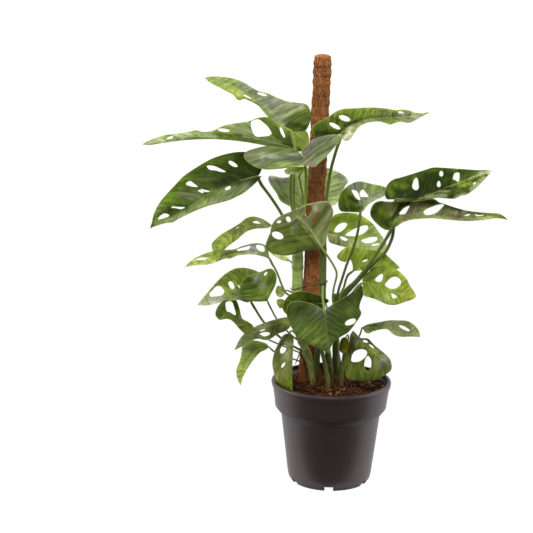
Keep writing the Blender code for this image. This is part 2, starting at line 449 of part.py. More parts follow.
                  (382.4, 278.6), (380.4, 281.8), (377.4, 281.6)], [(385, 285), (387.2, 281.4),
                  (390.6, 278.2), (394.4, 276.6), (397.6, 277.4), (400.8, 280.6), (400.4, 284.4),
                  (396.6, 288), (391.6, 288.8), (387.6, 287.4)], [(391.4, 293.4), (394, 294.2),
                  (396.8, 296.6), (395, 298.4), (392.4, 297.8)]],
        "stalk": [(357.5, 286.6, -13), (349, 298, -3), (342.4, 309.6, 5)],
        "root": ("stem_back", 322), "stalk_radius": 1.8},
    "leaf_bud_left": {
        "rib": [(285.5, 290.4, 12), (281, 292.2, 11), (277.4, 296, 10)],
        "upper": [(282, 287), (278, 285.6), (275.9, 289.4), (275.9, 293.6)],
        "lower": [(284, 295), (280.6, 297.4)],
        "upper_fall": (0.8, 0.0), "lower_fall": (-0.8, 0.0),
        "stalk": [(288, 290.6, 12)],
        "root": ("stem_left", 292)},
    "leaf_bud_left_low": {
        "rib": [(285, 300.5, 12), (281, 302.4, 11), (279.4, 308, 10)],
        "upper": [(281, 299), (276.8, 300), (277.2, 304.4)],
        "lower": [(285, 304), (282, 308)],
        "upper_fall": (0.8, 0.0), "lower_fall": (-0.8, 0.0),
        "stalk": [(287.6, 301.4, 11)],
        "root": ("stem_left", 303)},
    "leaf_pale_strip": {
        "rib": [(290, 261, 24), (280.5, 257.4, 22), (270.6, 253.4, 20)],
        "upper": [(287, 255.6), (280, 254), (275, 253.3)],
        "lower": [(285, 260.8), (277, 257.4)],
        "upper_fall": (3.0, 0.0), "lower_fall": (-3.0, 0.0),
        "stalk": [(292.6, 263.5, 19)],
        "root": ("stem_left", 268)},
}

# Brown aerial roots: (across, down, depth) paths down from a stem, one with a fork
ROOTS = {
    "root_forked": {
        "root": ("stem_left", 349), "path": [(299.4, 354, -5), (297.4, 359, -6), (295.4, 364, -6)],
        "fork": [(299.6, 353, -4.5), (303, 358, -8), (306, 362.5, -9), (309, 366, -9)],
        "radius": (1.1, 0.6)},
    "root_brown": {
        "root": ("stem_right", 366), "path": [(317.4, 372, -10), (319.4, 379, -12), (321, 385, -11)],
        "fork": [], "radius": (1.2, 0.8)},
}

# Root that lies on the soil, as (across, down) points, and its lift above the soil's bumps
LYING_ROOT = [(329.6, 379), (327, 382), (324.6, 385.6), (323.2, 389), (322.6, 392)]
LYING_ROOT_RADIUS = 1.0
LYING_ROOT_LIFT = 0.9

# Tie wire that holds the two climbing stems to the pole
TIE_WIRE_RADIUS = 0.7
TIE_LEVEL = 282.0
TIE_SLOPE = 0.3
TIE_SIDES = 26
TIE_GAP = 0.9

COLOURS = {
    "pot": (0.022, 0.018, 0.018),
    "soil": (0.045, 0.022, 0.014),
    "coir": (0.30, 0.13, 0.055),
    "stake": (0.42, 0.27, 0.14),
    "stem": (0.22, 0.32, 0.07),
    "root": (0.16, 0.06, 0.03),
    "wire": (0.01, 0.01, 0.01),
    "leaf_dark": (0.035, 0.11, 0.015),
    "leaf_mid": (0.07, 0.18, 0.03),
    "leaf_lime": (0.20, 0.36, 0.03),
    "leaf_pale": (0.20, 0.30, 0.11),
}


def clear_file():
    for thing in list(bpy.data.objects):
        bpy.data.objects.remove(thing, do_unlink=True)


def sight_axes():
    forward = Vector((-math.sin(EYE_YAW) * math.cos(EYE_PITCH),
                      math.cos(EYE_YAW) * math.cos(EYE_PITCH), -math.sin(EYE_PITCH)))
    right = Vector((math.cos(EYE_YAW), math.sin(EYE_YAW), 0.0))
    return forward, right, right.cross(forward)


def spot(across, down, depth):
    """Point in mm that is seen at (across, down) and lies depth mm behind the pot's axis."""
    forward, right, up = sight_axes()
    side = (across - EYE_CENTRE) / EYE_FOCAL
    rise = (EYE_CENTRE - down) / EYE_FOCAL
    level = side * math.cos(EYE_ROLL) - rise * math.sin(EYE_ROLL)
    lift = side * math.sin(EYE_ROLL) + rise * math.cos(EYE_ROLL)
    ray = forward + right * level + up * lift
    return EYE + ray * ((depth - EYE.y) / ray.y)


def curve_at(before, start, end, after, t):
    """Catmull-Rom point between start and end, for tuples of any length."""
    point = []
    for a, b, c, d in zip(before, start, end, after):
        point.append(0.5 * (2 * b + (c - a) * t + (2 * a - 5 * b + 4 * c - d) * t * t
                            + (3 * b - a - 3 * c + d) * t ** 3))
    return tuple(point)


def smooth_line(points, step, scale=1.0):
    """Points along a smooth line through the given ones, at most step apart."""
    line = [tuple(points[0])]
    for i in range(len(points) - 1):
        before = points[max(i - 1, 0)]
        after = points[min(i + 2, len(points) - 1)]
        length = math.dist(points[i], points[i + 1]) * scale
        parts = max(1, math.ceil(length / step))
        for k in range(1, parts + 1):
            line.append(curve_at(before, points[i], points[i + 1], after, k / parts))
    return line


def inside(point, loop):
    odd = False
    x, y = point
    for i in range(len(loop)):
        x1, y1 = loop[i]
        x2, y2 = loop[i - 1]
        if (y1 > y) != (y2 > y) and x < (x2 - x1) * (y - y1) / (y2 - y1) + x1:
            odd = not odd
    return odd


def oval(across, down, length, width, turn, sides):
    """Points around an oval hole."""
    angle = math.radians(turn)
    points = []
    for k in range(sides):
        a = math.tau * k / sides
        x, y = length / 2 * math.cos(a), width / 2 * math.sin(a)
        points.append((across + x * math.cos(angle) - y * math.sin(angle),
                       down + x * math.sin(angle) + y * math.cos(angle)))
    return points


class Blade:
    """A leaf blade as a bent sheet: p runs along the rib and w is the width off it."""

    def __init__(self, leaf):
        self.leaf = leaf
        rib = leaf["rib"]
        base, tip = rib[0], rib[-1]
        self.base = base
        self.reach = math.dist(base[:2], tip[:2])
        self.along = ((tip[0] - base[0]) / self.reach, (tip[1] - base[1]) / self.reach)
        self.rib = [(self.along_of(r), self.across_of(r), r[2]) for r in rib]
        spots = [spot(*r) for r in rib]
        length = sum((b - a).length for a, b in zip(spots, spots[1:]))
        self.run = length / self.reach
        middle = len(rib) // 2
        self.unit = (spot(rib[middle][0] + 1, rib[middle][1], rib[middle][2])
                     - spots[middle]).length
        self.turn = {1: self.side_of("upper"), -1: self.side_of("lower")}
        self.fall = {1: leaf["upper_fall"], -1: leaf["lower_fall"]}
        self.width = {1: self.widest("upper", 1), -1: self.widest("lower", -1)}
        self.stretch = {h: math.hypot(self.unit, self.fall[h][0] + self.fall[h][1] * self.width[h])
                        for h in (1, -1)}

    def along_of(self, at):
        return (at[0] - self.base[0]) * self.along[0] + (at[1] - self.base[1]) * self.along[1]

    def across_of(self, at):
        return (at[1] - self.base[1]) * self.along[0] - (at[0] - self.base[0]) * self.along[1]

    def rib_at(self, p):
        """Offset and depth of the rib at p, run straight on past both ends."""
        rib = self.rib
        if p <= 0.0 or p >= self.reach:
            a, b = (rib[0], rib[1]) if p <= 0.0 else (rib[-2], rib[-1])
            end = a if p <= 0.0 else b
            t = (p - end[0]) / (b[0] - a[0])
            return end[1] + (b[1] - a[1]) * t, end[2] + (b[2] - a[2]) * t
        i = max(k for k in range(len(rib) - 1) if rib[k][0] <= p)
        gap = rib[i + 1][0] - rib[i][0]
        t = (p - rib[i][0]) / gap
        values = []
        for axis in (1, 2):
            slopes = [self.slope(i, axis), self.slope(i + 1, axis)]
            a, b = rib[i][axis], rib[i + 1][axis]
            values.append(a * (1 + 2 * t) * (1 - t) ** 2 + gap * slopes[0] * t * (1 - t) ** 2
                          + b * t * t * (3 - 2 * t) + gap * slopes[1] * t * t * (t - 1))
        return values

    def slope(self, i, axis):
        first, last = max(i - 1, 0), min(i + 1, len(self.rib) - 1)
        return ((self.rib[last][axis] - self.rib[first][axis])
                / (self.rib[last][0] - self.rib[first][0]))

    def side_of(self, half):
        total = sum(self.across_of(at) - self.rib_at(self.along_of(at))[0]
                    for at in self.leaf[half])
        return 1 if total > 0 else -1

    def widest(self, half, side):
        return max(self.locate(at, side)[1] for at in self.leaf[half])

    def locate(self, at, side):
        p = self.along_of(at)
        return p, max(0.3, self.turn[side] * (self.across_of(at) - self.rib_at(p)[0]))

    def flat(self, p, w, side):
        return p * self.run, side * w * self.stretch[side]

    def lifted(self, x, y):
        """Point in space of a point of the flat outline."""
        side = 1 if y >= 0 else -1
        p, w = x / self.run, abs(y) / self.stretch[side]
        offset, depth = self.rib_at(p)
        q = offset + self.turn[side] * w
        fall, growth = self.fall[side]
        across = self.base[0] + self.along[0] * p - self.along[1] * q
        down = self.base[1] + self.along[1] * p + self.along[0] * q
        share = min(1.0, w / self.width[side])
        wave = WAVE_HEIGHT * share ** 2 * math.sin(x * math.tau / WAVE_LENGTH + side)
        return spot(across, down, depth + w * (fall + growth * w) + wave)

    def edge(self, half, side, step):
        ends = [self.leaf["rib"][0][:2]] + list(self.leaf[half]) + [self.leaf["rib"][-1][:2]]
        line = smooth_line(ends, step, self.unit)
        return [self.flat(*self.locate(at, side), side) for at in line[1:-1]]

    def outline(self, step):
        upper = self.edge("upper", 1, step)
        lower = self.edge("lower", -1, step)
        return [(0.0, 0.0)] + upper + [(self.reach * self.run, 0.0)] + lower[::-1]

    def holes(self, sides):
        loops = []
        for hole in self.leaf.get("holes", []):
            loop = hole if isinstance(hole, list) else oval(*hole, sides)
            middle = tuple(sum(values) / len(loop) for values in zip(*loop))
            offset = self.across_of(middle) - self.rib_at(self.along_of(middle))[0]
            side = 1 if offset * self.turn[1] > 0 else -1
            places = [self.locate(at, side) for at in loop]
            loops.append([self.flat(p, max(w, RIB_MARGIN), side) for p, w in places])
        return loops


def blade_faces(outline, holes, reach, grid):
    """Triangles of the flat blade with its holes: points and index triples."""
    points = list(outline)
    edges = [(i, (i + 1) % len(outline)) for i in range(len(outline))]
    for hole in holes:
        start = len(points)
        points += hole
        edges += [(start + i, start + (i + 1) % len(hole)) for i in range(len(hole))]
    rib_count = max(2, round(reach / grid))
    rib = [0] + list(range(len(points), len(points) + rib_count - 1))
    points += [(reach * k / rib_count, 0.0) for k in range(1, rib_count)]
    tip = outline.index((reach, 0.0))
    edges += list(zip(rib, rib[1:] + [tip]))
    points += grid_points(points, outline, holes, grid)
    flat, _, faces, _, _, _ = delaunay_2d_cdt([Vector(p) for p in points], edges, [], 0, 1e-4)
    kept = []
    for face in faces:
        centre = sum((flat[i] for i in face), Vector((0.0, 0.0))) / len(face)
        if inside(centre, outline) and not any(inside(centre, hole) for hole in holes):
            kept.append(list(face))
    return flat, kept


def grid_points(points, outline, holes, grid):
    """Inner points on a staggered grid, kept clear of the edges and the rib."""
    xs = [p[0] for p in outline]
    ys = [p[1] for p in outline]
    found = []
    row = 0
    y = min(ys) + grid * 0.5
    while y < max(ys):
        x = min(xs) + grid * (0.5 + 0.5 * (row % 2))
        while x < max(xs):
            at = (x, y)
            clear = abs(y) > grid * 0.4
            clear = clear and all(math.dist(at, p) > grid * 0.5 for p in points)
            if clear and inside(at, outline) and not any(inside(at, hole) for hole in holes):
                found.append(at)
            x += grid
        y += grid * 0.87
        row += 1
    return found


def thick_sheet(points, faces, thickness):
    """Closed mesh data of a sheet thickened alike on both faces."""
    normals = [Vector() for _ in points]
    for a, b, c in faces:
        normal = (points[b] - points[a]).cross(points[c] - points[a])
        for i in (a, b, c):
            normals[i] += normal
    used = sorted({i for face in faces for i in face})
    index = {old: new for new, old in enumerate(used)}
    half = thickness / 2
    top = [points[i] + normals[i].normalized() * half for i in used]
    bottom = [points[i] - normals[i].normalized() * half for i in used]
    count = len(used)
    solid = [[index[i] for i in face] for face in faces]
    rims = {}
    for a, b, c in solid:
        for edge in ((a, b), (b, c), (c, a)):
            rims[edge] = True
    walls = []
    for a, b in rims:
        if (b, a) not in rims:
            walls += [[b, a, a + count], [b, a + count, b + count]]
    under = [[c + count, b + count, a + count] for a, b, c in solid]
    return top + bottom, solid + under + walls


def ring_frame(tangent, last_side):
    side = last_side - tangent * last_side.dot(tangent)
    return side.normalized()


def tube(points, radii, sides, closed=False):
    """Closed mesh data of a round bar along points; closed joins its two ends."""
    verts, faces = [], []
    side = Vector((1.0, 0.0, 0.3))
    count = len(points)
    for i, point in enumerate(points):
        if closed:
            tangent = (points[(i + 1) % count] - points[i - 1]).normalized()
        else:
            tangent = (points[min(i + 1, count - 1)] - points[max(i - 1, 0)]).normalized()
        side = ring_frame(tangent, Vector((0, 0, 1)) if closed else side)
        other = tangent.cross(side)
        for k in range(sides):
            a = math.tau * k / sides
            verts.append(point + (side * math.cos(a) + other * math.sin(a)) * radii[i])
    for i in range(count if closed else count - 1):
        for k in range(sides):
            a, b = i * sides + k, i * sides + (k + 1) % sides
            c, d = (i + 1) % count * sides + (k + 1) % sides, (i + 1) % count * sides + k
            faces += [[a, b, c], [a, c, d]]
    if not closed:
        last = (count - 1) * sides
        faces += [[0, k + 1, k] for k in range(1, sides - 1)]
        faces += [[last, last + k, last + k + 1] for k in range(1, sides - 1)]
    return verts, faces


def tapered(first, last, count):
    return [first + (last - first) * k / (count - 1) for k in range(count)]


def make_object(name, verts, faces, colour):
    mesh = bpy.data.meshes.new(name)
    mesh.from_pydata([tuple(v * MM) for v in verts], [], faces)
    thing = bpy.data.objects.new(name, mesh)
    bpy.context.scene.collection.objects.link(thing)
    tidy = bmesh.new()
    tidy.from_mesh(mesh)
    bmesh.ops.recalc_face_normals(tidy, faces=tidy.faces)
    if tidy.calc_volume(signed=True) < 0.0:
        bmesh.ops.reverse_faces(tidy, faces=tidy.faces)
    tidy.to_mesh(mesh)
    tidy.free()
    if colour:
        mesh.materials.append(make_material(name, colour))
    return thing


def make_material(name, colour):
    material = bpy.data.materials.new(name)
    material.use_nodes = True
    shader = material.node_tree.nodes["Principled BSDF"]
    shader.inputs["Base Color"].default_value = (*COLOURS[colour], 1.0)
    shader.inputs["Roughness"].default_value = 0.55
    return material


def combine(thing, others, operation):
    """Apply one Boolean of a collection of objects, then remove them."""
    group = bpy.data.collections.new(thing.name + "_tools")
    for other in others:
        other.hide_render = True
        other.display_type = "WIRE"
        group.objects.link(other)
    joint = thing.modifiers.new("combine", "BOOLEAN")
    joint.operation = operation
    joint.operand_type = "COLLECTION"
    joint.collection = group
    joint.solver = "MANIFOLD"
    depsgraph = bpy.context.evaluated_depsgraph_get()
    result = bpy.data.meshes.new_from_object(thing.evaluated_get(depsgraph))
    thing.modifiers.clear()
    old = thing.data
    thing.data = result
    bpy.data.meshes.remove(old)
    for other in others:
        bpy.data.objects.remove(other, do_unlink=True)
    bpy.data.collections.remove(group)
    result.name = thing.name


def lathe(profile, sides, wobble=None):
    """Closed mesh data of a profile of (radius, height) turned about the Z axis."""
    verts, faces, rings = [], [], []
    for i, (radius, height) in enumerate(profile):
        if radius == 0:
            rings.append([len(verts)] * sides)
            verts.append(Vector((0, 0, height)))
            continue
        rings.append(list(range(len(verts), len(verts) + sides)))
        for k in range(sides):
            a = math.tau * k / sides
            lift = wobble[i][k] if wobble else 0.0
            verts.append(Vector((radius * math.cos(a), radius * math.sin(a), height + lift)))
    for lower, upper in zip(rings, rings[1:]):
        for k in range(sides):
            a, b = lower[k], lower[(k + 1) % sides]
            c, d = upper[(k + 1) % sides], upper[k]
            if a != b:
                faces.append([a, b, c])
            if c != d:
                faces.append([a, c, d])
    return verts, faces


def wall_radius(height):
    for (r1, z1), (r2, z2) in zip(POT_WALL, POT_WALL[1:]):
        if z1 <= height <= z2:
            return r1 + (r2 - r1) * (height - z1) / (z2 - z1)
    return POT_WALL[-1][0]


def box(centre, size, turn):
    verts = []
    for x, y, z in ((i, j, k) for i in (-1, 1) for j in (-1, 1) for k in (-1, 1)):
        corner = Vector((centre[0] + x * size[0] / 2, y * size[1] / 2, z * size[2] / 2))
        across = corner.x * math.cos(turn) - corner.y * math.sin(turn)
        along = corner.x * math.sin(turn) + corner.y * math.cos(turn)
        verts.append(Vector((across, along, corner.z + centre[2])))
    faces = [[0, 1, 3, 2], [4, 6, 7, 5], [0, 4, 5, 1], [2, 3, 7, 6], [0, 2, 6, 4], [1, 5, 7, 3]]
    return verts, faces


def make_pot():
    inner = [(radius - POT_THICKNESS, height) for radius, height in POT_WALL[2:-2]][::-1]
    profile = [(0, 0)] + POT_WALL + [POT_LIP_INNER] + inner
    profile += [(POT_WALL[1][0] - POT_THICKNESS - 1.0, POT_FLOOR), (0, POT_FLOOR)]
    pot = make_object("pot", *lathe(profile, POT_SIDES), "pot")
    cutters = []
    for k in range(DRAIN_COUNT):
        turn = math.tau * k / DRAIN_COUNT - math.pi / 2
        notch = box((DRAIN_MIDDLE, 0, 0), (DRAIN_DEPTH, DRAIN_WIDTH, DRAIN_HEIGHT * 2), turn)
        cutters.append(make_object(f"notch_{k}", *notch, None))
        turn += math.pi / DRAIN_COUNT
        at = Vector((math.cos(turn), math.sin(turn), 0)) * FLOOR_HOLE_CIRCLE
        ends = [at + Vector((0, 0, height)) for height in FLOOR_HOLE_SPAN]
        hole = tube(ends, [FLOOR_HOLE_RADIUS] * 2, FLOOR_HOLE_SIDES)
        cutters.append(make_object(f"drain_{k}", *hole, None))
    combine(pot, cutters, "DIFFERENCE")


def stem_bar(name):
    """Points and radii of a stem, its start run on down below the soil's surface."""
    line = smooth_line(STEMS[name], STEM_STEP)
    points = [spot(*at[:3]) for at in line]
    radii = [at[3] for at in line]
    slope = (points[0] - points[1]).normalized()
    slope.z = min(slope.z, STEM_DIVE)
    return [points[0] + slope.normalized() * STEM_SUNK] + points, radii[:1] + radii


def pole_point(height):
    head = spot(*POLE_HIGH)
    foot = spot(*POLE_LOW)
    return foot + (head - foot) * ((height - foot.z) / (head.z - foot.z))


def pole_axis():
    return (pole_point(1.0) - pole_point(0.0)).normalized()


def bar_holes(gap):
    """Bars a little wider than the pole, stems and roots, to cut their holes in the soil."""
    coir_bar = tube([pole_point(COIR_START - gap), pole_point(COIR_HOLE_TOP)],
                    [COIR_RADIUS + COIR_HOLE_GAP] * 2, POLE_SIDES)
    stake_bar = tube([pole_point(STAKE_START - gap), pole_point(COIR_START + 1)],
                     [STAKE_RADIUS + gap] * 2, POLE_SIDES)
    bars = [make_object("hole_coir", *coir_bar, None), make_object("hole_stake", *stake_bar, None)]
    for name in STEMS:
        points, radii = stem_bar(name)
        points[0] += (points[0] - points[1]).normalized() * gap
        bar = tube(points, [radius + gap for radius in radii], STEM_SIDES)
        bars.append(make_object("hole_" + name, *bar, None))
    return bars


def make_soil():
    top = wall_radius(SOIL_TOP) - POT_THICKNESS - SOIL_GAP
    foot = wall_radius(SOIL_FLOOR) - POT_THICKNESS - 2 * SOIL_GAP
    profile = [(0, SOIL_FLOOR), (foot, SOIL_FLOOR)]
    profile += [(r - POT_THICKNESS - SOIL_GAP, z) for r, z in POT_WALL[2:7]]
    profile += [(top, SOIL_TOP), (top * 0.82, SOIL_TOP + 1.5), (top * 0.55, SOIL_TOP + 3.5),
                (top * 0.28, SOIL_TOP + SOIL_MOUND), (0, SOIL_TOP + SOIL_MOUND)]
    rng = random.Random(4)
    wobble = [[0.0] * POT_SIDES for _ in profile]
    for ring in (-4, -3, -2):
        wobble[ring] = [rng.uniform(-1.0, 1.0) for _ in range(POT_SIDES)]
    soil = make_object("soil", *lathe(profile, POT_SIDES, wobble), "soil")
    combine(soil, bar_holes(STEM_HOLE_GAP), "DIFFERENCE")


def make_pole():
    stake_foot, stake_head = pole_point(STAKE_START), pole_point(STAKE_TOP)
    stake = tube([stake_foot, stake_head], [STAKE_RADIUS] * 2, POLE_SIDES)
    make_object("pole_stake", *stake, "stake")
    axis = pole_axis()
    first, last = pole_point(COIR_START), pole_point(COIR_TOP)
    count = 2 * round((last - first).length / COIR_PITCH)
    points = [first + (last - first) * k / count for k in range(count + 1)]
    radii = [COIR_RADIUS - COIR_WAIST * (k % 2) for k in range(count + 1)]
    for rise, radius in COIR_CROWN:
        points.append(last + axis * rise)
        radii.append(radius)
    coir = make_object("pole_coir", *tube(points, radii, POLE_SIDES), "coir")
    bore = tube([pole_point(0), stake_head + axis * STAKE_CLEARANCE],
                [STAKE_RADIUS + STAKE_CLEARANCE] * 2, POLE_SIDES)
    combine(coir, [make_object("bore", *bore, None)], "DIFFERENCE")


def make_stems():
    for name in STEMS:
        make_object(name, *tube(*stem_bar(name), STEM_SIDES), "stem")


def make_roots():
    for name, root in ROOTS.items():
        path = [spot(*at) for at in root["path"]]
        line = [stem_seat(*root["root"], path[0], root["radius"][0])] + path
        thing = make_object(name, *tube(line, tapered(*root["radius"], len(line)), 5), "root")
        if root["fork"]:
            fork = [spot(*at) for at in root["fork"]]
            radii = tapered(*root["radius"], len(fork))
            combine(thing, [make_object(name + "_fork", *tube(fork, radii, 5), None)], "UNION")
    line = [on_soil(*at, LYING_ROOT_RADIUS + LYING_ROOT_LIFT) for at in LYING_ROOT]
    radii = tapered(LYING_ROOT_RADIUS, LYING_ROOT_RADIUS * 0.6, len(line))
    make_object("root_on_soil", *tube(line, radii, 5), "root")


def on_soil(across, down, lift):
    """Point that is seen at (across, down) on the soil, raised by lift."""
    soil = bpy.data.objects["soil"]
    _, place, _, _ = soil.ray_cast(EYE * MM, spot(across, down, 0.0) - EYE)
    return place / MM + Vector((0.0, 0.0, lift))


def stem_seat(name, down, toward, radius):
    """Start of a stalk that leaves a stem for toward, a touch gap off the stem's surface."""
    line = smooth_line(STEMS[name], SEAT_STEP)
    at = min(range(1, len(line) - 1), key=lambda i: abs(line[i][1] - down))
    centre = spot(*line[at][:3])
    grain = (spot(*line[at + 1][:3]) - spot(*line[at - 1][:3])).normalized()
    heading = (toward - centre).normalized()
    away = (heading - grain * heading.dot(grain)).normalized()
    surface = BVHTree.FromPolygons(*tube(*stem_bar(name), STEM_SIDES))
    skin, _, _, _ = surface.ray_cast(centre + away * SEAT_REACH, -away)
    side_on = math.sqrt(1.0 - heading.dot(away) ** 2)
    return skin + away * (radius * side_on + TOUCH_GAP)


def stalk_points(leaf, blade):
    rib = leaf["rib"]
    seen = [spot(*at) for at in leaf["stalk"]][::-1]
    root_name, root_down = leaf["root"]
    stalk_radius = leaf.get("stalk_radius", 1.2)
    root = stem_seat(root_name, root_down, seen[0], stalk_radius)
    reach = blade.reach * blade.run
    inner = [blade.lifted(reach * share, 0.0) for share in (0.06, 0.16)]
    path = smooth_line([tuple(p) for p in [root] + seen + [spot(*rib[0])]], 30.0)
    points = [Vector(p) for p in path] + inner
    radii = [stalk_radius] * (len(path) - 1) + [stalk_radius * 0.9, stalk_radius * 0.7, 0.4]
    return points, radii


def make_leaf(name, leaf):
    blade = Blade(leaf)
    flat, faces = blade_faces(blade.outline(EDGE_STEP), blade.holes(HOLE_SIDES),
                              blade.reach * blade.run, GRID_STEP)
    points = [blade.lifted(x, y) for x, y in flat]
    thing = make_object(name, *thick_sheet(points, faces, BLADE_THICKNESS), leaf_colour(name))
    stalk = make_object(name + "_stalk", *tube(*stalk_points(leaf, blade), STALK_SIDES), None)
    combine(thing, [stalk], "UNION")


def leaf_colour(name):
    for word, colour in (("lime", "leaf_lime"), ("bud", "leaf_lime"), ("pale", "leaf_pale"),
                         ("behind", "leaf_pale"), ("left_large", "leaf_dark"),
                         ("back", "leaf_dark")):
        if word in name:
            return colour
    return "leaf_mid"


def tie_loop():
    """Points of the wire loop that goes round the pole and the two climbing stems."""
    rings = [(pole_point(spot(311, TIE_LEVEL, 15).z), COIR_RADIUS)]
    for name in ("stem_left", "stem_right"):
        line = smooth_line(STEMS[name], SEAT_STEP)
        at = min(line, key=lambda point: abs(point[1] - TIE_LEVEL))
        rings.append((spot(*at[:3]), at[3]))
    points = []
    for k in range(TIE_SIDES):
        a = math.tau * k / TIE_SIDES
        out = Vector((math.cos(a), math.sin(a), 0.0))
        centre, radius = max(rings, key=lambda ring: ring[0].dot(out) + ring[1])
        point = centre + out * (radius + TIE_WIRE_RADIUS + TIE_GAP)
        point.z = rings[0][0].z + TIE_SLOPE * (point.x - rings[0][0].x)
        points.append(point)
    return points


def make_tie():
    points = tie_loop()
    make_object("tie_wire", *tube(points, [TIE_WIRE_RADIUS] * len(points), 5, True), "wire")


def build():
    clear_file()
    make_pot()
    make_soil()
    make_pole()
    make_stems()
    make_roots()
    make_tie()
    for name, leaf in LEAVES.items():
        make_leaf(name, leaf)


build()
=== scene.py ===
"""Looks of the potted adansons monstera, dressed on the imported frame.

Leaves, stems and roots are placed as in part.py: by points (across, down) of a 533 x 533 view and a
depth. Lengths are in millimetres until a mesh is made.
"""
import math
import random

import bpy
import numpy as np
from mathutils import Matrix, Vector, noise
from mathutils.geometry import delaunay_2d_cdt


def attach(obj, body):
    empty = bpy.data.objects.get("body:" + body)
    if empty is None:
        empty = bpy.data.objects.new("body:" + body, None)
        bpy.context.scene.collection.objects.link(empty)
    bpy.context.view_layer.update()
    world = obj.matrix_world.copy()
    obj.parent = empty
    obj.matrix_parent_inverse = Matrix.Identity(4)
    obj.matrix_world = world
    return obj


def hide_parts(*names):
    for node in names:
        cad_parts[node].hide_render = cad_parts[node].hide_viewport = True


MM = 0.001

# Pot: outer wall as (radius, height), as in part.py, turned with more sides and softer corners
POT_WALL = [(54.5, 0), (58.5, 6), (60.0, 14), (70.2, 98), (71.5, 100.5), (79.0, 110), (80.6, 124),
            (82.4, 136), (84.4, 141.5), (85.0, 145), (83.8, 148)]
POT_LIP_INNER = (80.0, 148)
POT_THICKNESS = 1.6
POT_FLOOR = 3.0
POT_FLOOR_INSET = 1.0
POT_SIDES = 144
POT_CORNER = 0.5
POT_CORNER_SHARE = 0.35
POT_SHARP = math.radians(28)
POT_SHEEN = (1.0, 0.86, 0.92, 1.0)
DRAIN_COUNT = 6
DRAIN_WIDTH = 12.0
DRAIN_HEIGHT = 7.0
DRAIN_MIDDLE = 51.0
DRAIN_DEPTH = 30.0
FLOOR_HOLE_RADIUS = 5.0
FLOOR_HOLE_CIRCLE = 30.0
FLOOR_HOLE_SIDES = 24
FLOOR_HOLE_SPAN = (-3.0, 8.0)

# Soil; its lumps as (height, closeness, layer of the noise)
SOIL_FLOOR = 7.5
SOIL_TOP = 135.0
SOIL_SUNK = 0.8
SOIL_MOUND = 5.0
SOIL_LUMPS = [(1.3, 0.06, 1.0), (0.9, 0.19, 5.0), (0.5, 0.6, 9.0)]
SOIL_CALM = 0.4
SOIL_GAP = 0.5
SOIL_RINGS = 46
SOIL_SIDES = 180
SOIL_SEED = 4
CHIP_COUNT = 1300
CHIP_REACH = 0.96
CHIP_SIZES = (1.5, 2.0, 2.6, 3.4, 4.6, 6.0)
CHIP_WIDTH = (0.35, 0.8)
CHIP_HEIGHT = (0.2, 0.45)
CHIP_TILT = 0.8
CHIP_SKEW = (0.8, 1.15)
CHIP_LIFT = 0.12
FIBRE_COUNT = 560
FIBRE_START = 0.9
FIBRE_LIMIT = 0.95
FIBRE_POINTS = 6
FIBRE_STEP = 2.0
FIBRE_BEND = 0.7
FIBRE_LIFT = (0.3, 1.6)
FIBRE_RADIUS = (0.25, 0.5)

# Coir pole: two seen points of its axis, its waists between threads, and its roughness as
# (height, closeness round the pole, closeness along it)
POLE_HIGH = (322.8, 57.0, 8.0)
POLE_LOW = (307.0, 380.0, 24.0)
POLE_SEED = 11
COIR_RADIUS = 11.9
COIR_INSET = 0.1
COIR_START = 70.0
COIR_TOP = 601.0
COIR_CROWN = 7.3
CROWN_SHAPE = [(0.93, 0.5), (0.72, 0.85), (0.4, 0.95), (0.0, 1.0)]
COIR_PITCH = 13.5
COIR_WAIST = 1.15
WAIST_LEAST = 0.35
WAIST_FROM = 410.0
WAIST_FADE = 110.0
COIR_ROUGH = [(1.1, 2.4, 0.07), (1.0, 9.0, 0.16)]
COIR_SIDES = 90
COIR_RING = 2.2
# Brightness of the coir body under the strands, below the strands' mean: painted shade in the crevices
# between them
COIR_BODY_PAINTED_SHADE = 0.42
# Painted light on the lower coir, which the leaves shade: below the first of these heights its colour
# is raised by the last factor, less and less up to the second height
COIR_PAINTED_LIGHT_FULL = 300.0
COIR_PAINTED_LIGHT_END = 480.0
COIR_PAINTED_LIGHT = 1.5
FUZZ_FROM = 66.0
STRAND_COUNT = 1900
STRAND_END = 6.0
STRAND_LEANS = (0.02, 0.02, 0.12, 0.22)
STRAND_POINTS = (4, 9)
STRAND_STEP = 3.4
STRAND_LIFT = (-0.15, 0.75)
STRAND_WANDER = 0.03
STRAND_RADIUS = (0.14, 0.38)
HAIR_COUNT = 1500
HAIR_END = 8.0
HAIR_ROOT = 0.5
HAIR_RISE = (-2.5, 3.5)
HAIR_LEAN = 0.12
HAIR_REACH = (1.6, 3.4)
HAIR_SAG = 0.35
HAIR_RADII = [0.14, 0.13, 0.11, 0.07]
THREAD_RADIUS = 0.28
THREAD_LIFT = 0.35
THREAD_TILT = 0.1
THREAD_POINTS = 30

# Fine roots and loose coir at the plant's foot
FEET_SEED = 23
FOOT_REACH = 26.0
FOOT_ROOTS = 9
FOOT_LIMIT = 70.0
FOOT_TURN = (math.pi * 0.8, math.pi * 2.2)
FOOT_START = 3.5
FOOT_STEP = 3.2
FOOT_DROP = 4.0
FOOT_WANDER = 0.45
FOOT_STEPS = (3, 8)
FOOT_RADIUS = (0.4, 0.95)
FOOT_TIP = 0.25
HANG_REACH = 62.0
HANG_ROOTS = 7
HANG_SPREAD = 6.5
HANG_DRIFT = 1.6
HANG_RADIUS = (0.7, 1.7)
HANG_TIP = 0.6
TUFT_COUNT = 300
TUFT_HEIGHT = (1.0, 24.0)
TUFT_ROOT = 0.6
TUFT_REACH = (1.5, 9.0)
TUFT_DRIFT = 4.0
TUFT_RADII = [0.3, 0.28, 0.24, 0.2, 0.14]

